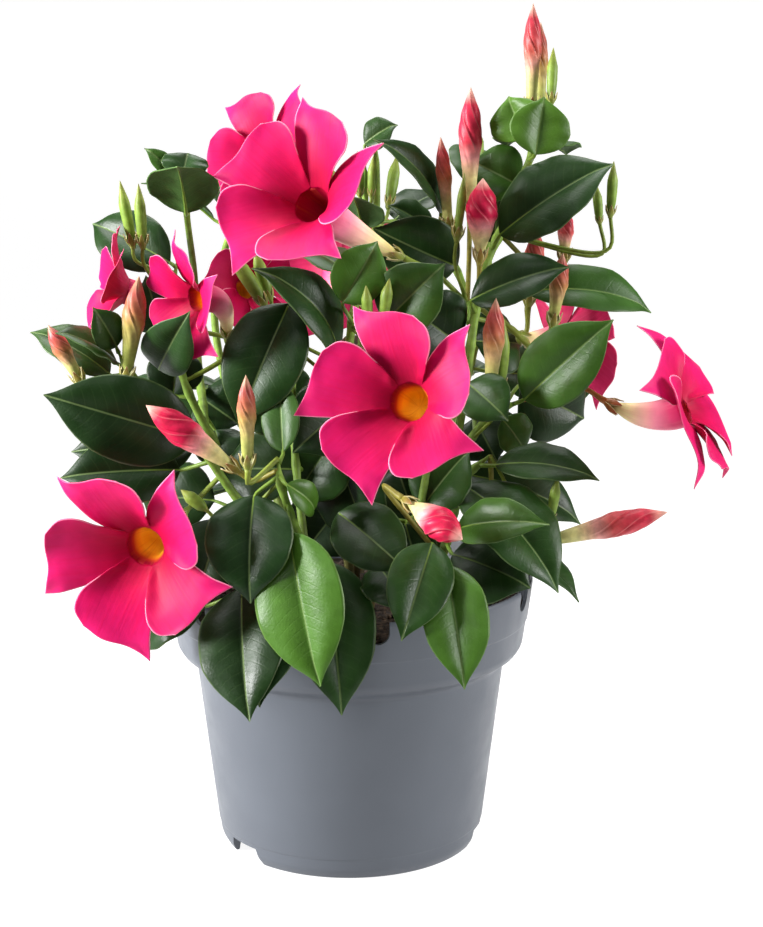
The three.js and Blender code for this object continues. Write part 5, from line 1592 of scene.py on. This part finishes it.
@dataclass
class Soil:
    """Moist peat with perlite: a lumpy crown inside the rim, with loose crumbs on it."""

    palette: Palette
    edge: float = 80.6
    edge_height: float = 113.0
    crown_height: float = 118.0
    crumbs: int = 620
    grains: int = 46
    stem_room: float = 3.4
    top_rings: int = 34
    seed: int = 7

    def level(self, x: float, y: float) -> float:
        """Height of the bed at a place, without its lumps."""
        share = min(1.0, math.hypot(x, y) / self.edge)
        return self.crown_height - 0.7 - (self.crown_height - self.edge_height - 0.2) * share**1.6

    def build(self) -> bpy.types.Object:
        """Draws the bed up from its bottom, roughens its top and scatters crumbs and grains."""
        bed = self.bed()
        draw = np.random.default_rng(self.seed)
        pieces = [bed]
        for kind, count, sizes in (("crumb", self.crumbs, (0.9, 2.6)), ("grain", self.grains, (0.8, 1.7))):
            start = self.lump(kind)
            for _ in range(count):
                reach, turn = self.edge * math.sqrt(draw.uniform(0, 0.93)), draw.uniform(0, 2 * math.pi)
                x, y = reach * math.cos(turn), reach * math.sin(turn)
                if min(math.hypot(x - s[0][0][0], y - s[0][0][1]) for s in STEMS.values()) < self.stem_room:
                    continue
                size = draw.uniform(*sizes)
                pieces.append(self.copy(start, x, y, size, draw))
            bpy.data.objects.remove(start, do_unlink=True)
        bpy.ops.object.select_all(action="DESELECT")
        for made in pieces:
            made.select_set(True)
        bpy.context.view_layer.objects.active = bed
        bpy.ops.object.join()
        return placed(bed, "soil")

    def bed(self) -> bpy.types.Object:
        """The body of peat that fills the pot, with a lumpy top."""
        line = [(43.8, 11.2), (56.4, 11.2), (61.0, 17.3), (69.6, 90.3), (78.3, 97.2), (79.9, 109.6)]
        bpy.ops.object.select_all(action="DESELECT")
        bpy.ops.mesh.primitive_circle_add(
            vertices=120, radius=line[0][0] * MM, fill_type="TRIFAN", location=(0, 0, line[0][1] * MM)
        )
        bed = bpy.context.object
        bed.name = "peat_bed"
        settle(bed)
        bpy.ops.object.mode_set(mode="EDIT")
        bpy.ops.mesh.select_all(action="SELECT")
        bpy.ops.mesh.flip_normals()
        bpy.ops.mesh.region_to_loop()
        top = [(float(r), self.level(float(r), 0)) for r in np.linspace(self.edge, 2.0, self.top_rings)]
        draw_up([*line, *top])
        bpy.ops.mesh.merge(type="CENTER")
        bpy.ops.mesh.select_all(action="SELECT")
        bpy.ops.mesh.normals_make_consistent(inside=False)
        bpy.ops.object.mode_set(mode="OBJECT")
        for corner in bed.data.vertices:
            if corner.co.z > (self.edge_height - 1.5) * MM:
                spot = corner.co / MM
                rough = 1.3 * noise.noise(spot / 7) + 0.8 * noise.noise(spot / 2.6) - 0.5
                corner.co.z += rough * MM
        bed.data.materials.append(self.palette.peat)
        bed.data.materials.append(self.palette.perlite)
        select_only(bed)
        bpy.ops.object.shade_smooth()
        return bed

    def lump(self, kind: str) -> bpy.types.Object:
        """A crumb or a grain at unit size, with uneven sides."""
        bpy.ops.object.select_all(action="DESELECT")
        bpy.ops.mesh.primitive_ico_sphere_add(subdivisions=1, radius=MM)
        made = bpy.context.object
        bpy.ops.object.mode_set(mode="EDIT")
        bpy.ops.transform.vertex_random(offset=0.3 * MM, seed=3)
        bpy.ops.object.mode_set(mode="OBJECT")
        material = self.palette.peat if kind == "crumb" else self.palette.perlite
        made.data.materials.append(self.palette.peat)
        made.data.materials.append(self.palette.perlite)
        for face in made.data.polygons:
            face.material_index = int(material is self.palette.perlite)
        return made

    def copy(
        self, start: bpy.types.Object, x: float, y: float, size: float, draw: np.random.Generator
    ) -> bpy.types.Object:
        """A turned and stretched copy of a lump, half sunk in the bed."""
        made = bpy.data.objects.new("lump", start.data.copy())
        bpy.context.scene.collection.objects.link(made)
        made.location = (x * MM, y * MM, (self.level(x, y) - 0.2) * MM)
        made.rotation_euler = draw.uniform(0, ANY_TURN, 3).tolist()
        made.scale = (size, size * draw.uniform(0.6, 1), size * draw.uniform(0.5, 0.8))
        return made


# ---- studio ----
# name, where it hangs, the point that it looks at, length of its side, watts
LAMPS: tuple[tuple[str, Point, Point, float, float], ...] = (
    ("left_box", (-1050, -300, 520), (0, 0, 190), 420, 9.6),
    ("right_box", (1050, -260, 460), (0, 0, 180), 420, 3.4),
    ("front_box", (-250, -980, 1000), (0, 0, 200), 500, 0.6),
    ("top_box", (-60, 260, 1150), (0, 0, 150), 900, 6.0),
)


@dataclass
class Studio:
    """Pale seamless floor, a soft key from the upper left front, a broad fill from the right, and the camera."""

    camera_place: tuple[float, float, float] = (14.6, -875.0, 357.5)
    camera_pitch: float = 11.6
    focal_pixels: float = 1942.0
    long_side_pixels: float = 927.0
    sensor: float = 36.0
    floor_width: float = 1500.0
    floor_front: float = -360.0
    floor_back: float = 1300.0
    sweep: float = 350.0
    backdrop: float = 0.22
    glow: float = 0.92
    ambient: float = 0.12
    spread: float = 80.0
    floor_drop: float = 0.4
    sweep_steps: int = 12
    paper_roughness: float = 0.9

    def build(self) -> None:
        """Builds the floor, the lights and the camera."""
        self.floor()
        for lamp in LAMPS:
            self.light(*lamp)
        world = bpy.data.worlds.new("studio")
        world.use_nodes = True
        world.node_tree.nodes["Background"].inputs["Color"].default_value = (1, 1, 1, 1)
        world.node_tree.nodes["Background"].inputs["Strength"].default_value = self.ambient
        bpy.context.scene.world = world
        bpy.context.scene.view_settings.view_transform = "Standard"
        camera = bpy.data.objects.new("camera", bpy.data.cameras.new("camera"))
        bpy.context.scene.collection.objects.link(camera)
        camera.location = vec(self.camera_place) * MM
        camera.rotation_euler = (math.radians(90 - self.camera_pitch), 0, 0)
        camera.data.sensor_width = self.sensor
        camera.data.lens = self.focal_pixels * self.sensor / self.long_side_pixels
        camera.data.dof.use_dof = False
        bpy.context.scene.camera = camera

    def floor(self) -> None:
        """A floor that sweeps up behind the plant, so that no horizon shows."""
        middle, depth = (self.floor_front + self.floor_back) / 2, self.floor_back - self.floor_front
        bpy.ops.object.select_all(action="DESELECT")
        bpy.ops.mesh.primitive_plane_add(size=1, location=(0, middle * MM, -self.floor_drop * MM))
        made = bpy.context.object
        made.scale = (self.floor_width * MM, depth * MM, 1)
        made.name = "studio_floor"
        settle(made)
        bpy.ops.object.mode_set(mode="EDIT")
        bpy.ops.mesh.select_mode(type="EDGE")
        bpy.ops.mesh.select_all(action="DESELECT")
        bpy.ops.object.mode_set(mode="OBJECT")
        for edge in made.data.edges:
            edge.select = all(made.data.vertices[k].co.y > (self.floor_back - 1) * MM for k in edge.vertices)
        bpy.ops.object.mode_set(mode="EDIT")
        for k in range(self.sweep_steps):
            low, high = (math.pi / 2 * n / self.sweep_steps for n in (k, k + 1))
            back = self.sweep * (math.sin(high) - math.sin(low))
            rise = self.sweep * (math.cos(low) - math.cos(high))
            bpy.ops.mesh.extrude_edges_move(TRANSFORM_OT_translate={"value": (0, back * MM, rise * MM)})
        bpy.ops.mesh.extrude_edges_move(TRANSFORM_OT_translate={"value": (0, 0, self.sweep * MM)})
        bpy.ops.mesh.select_all(action="SELECT")
        bpy.ops.mesh.normals_make_consistent(inside=False)
        bpy.ops.object.mode_set(mode="OBJECT")
        bpy.ops.object.shade_smooth()
        paper = bpy.data.materials.new("studio_paper")
        paper.use_nodes = True
        surface = next(n for n in paper.node_tree.nodes if n.type == "BSDF_PRINCIPLED")
        surface.inputs["Base Color"].default_value = (self.backdrop, self.backdrop, self.backdrop, 1)
        surface.inputs["Roughness"].default_value = self.paper_roughness
        surface.inputs["Emission Color"].default_value = (1, 1, 1, 1)
        surface.inputs["Emission Strength"].default_value = self.glow
        made.data.materials.append(paper)

    def light(
        self, name: str, place: Sequence[float], aim: Sequence[float], size: float, watts: float
    ) -> None:
        """Adds a square area light that looks at a point.

        Args:
            name: its name.
            place: where it hangs, in millimetres.
            aim: the point that it looks at.
            size: length of its side.
            watts: its power.
        """
        lamp = bpy.data.lights.new(name, "AREA")
        lamp.size = size * MM
        lamp.energy = watts
        lamp.spread = math.radians(self.spread)
        made = bpy.data.objects.new(name, lamp)
        bpy.context.scene.collection.objects.link(made)
        made.location = vec(place) * MM
        look = Vector(vec(aim) - vec(place))
        made.rotation_euler = look.to_track_quat("-Z", "Y").to_euler()


def main() -> None:
    """Builds every piece of the plant and its pot, then the studio."""
    logging.basicConfig(level=logging.INFO, format="%(name)s: %(message)s")
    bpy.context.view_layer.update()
    palette = Palette()
    Pot(palette).build()
    Soil(palette).build()
    for name in STEMS:
        LeafyStem(name, palette).build()
    for row in BLOOMS:
        Bloom(*row).build(palette)
    for row in BUDS:
        FurledBud(*row).build(palette)
    Studio().build()
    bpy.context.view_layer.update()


if __name__ == "__main__":
    main()
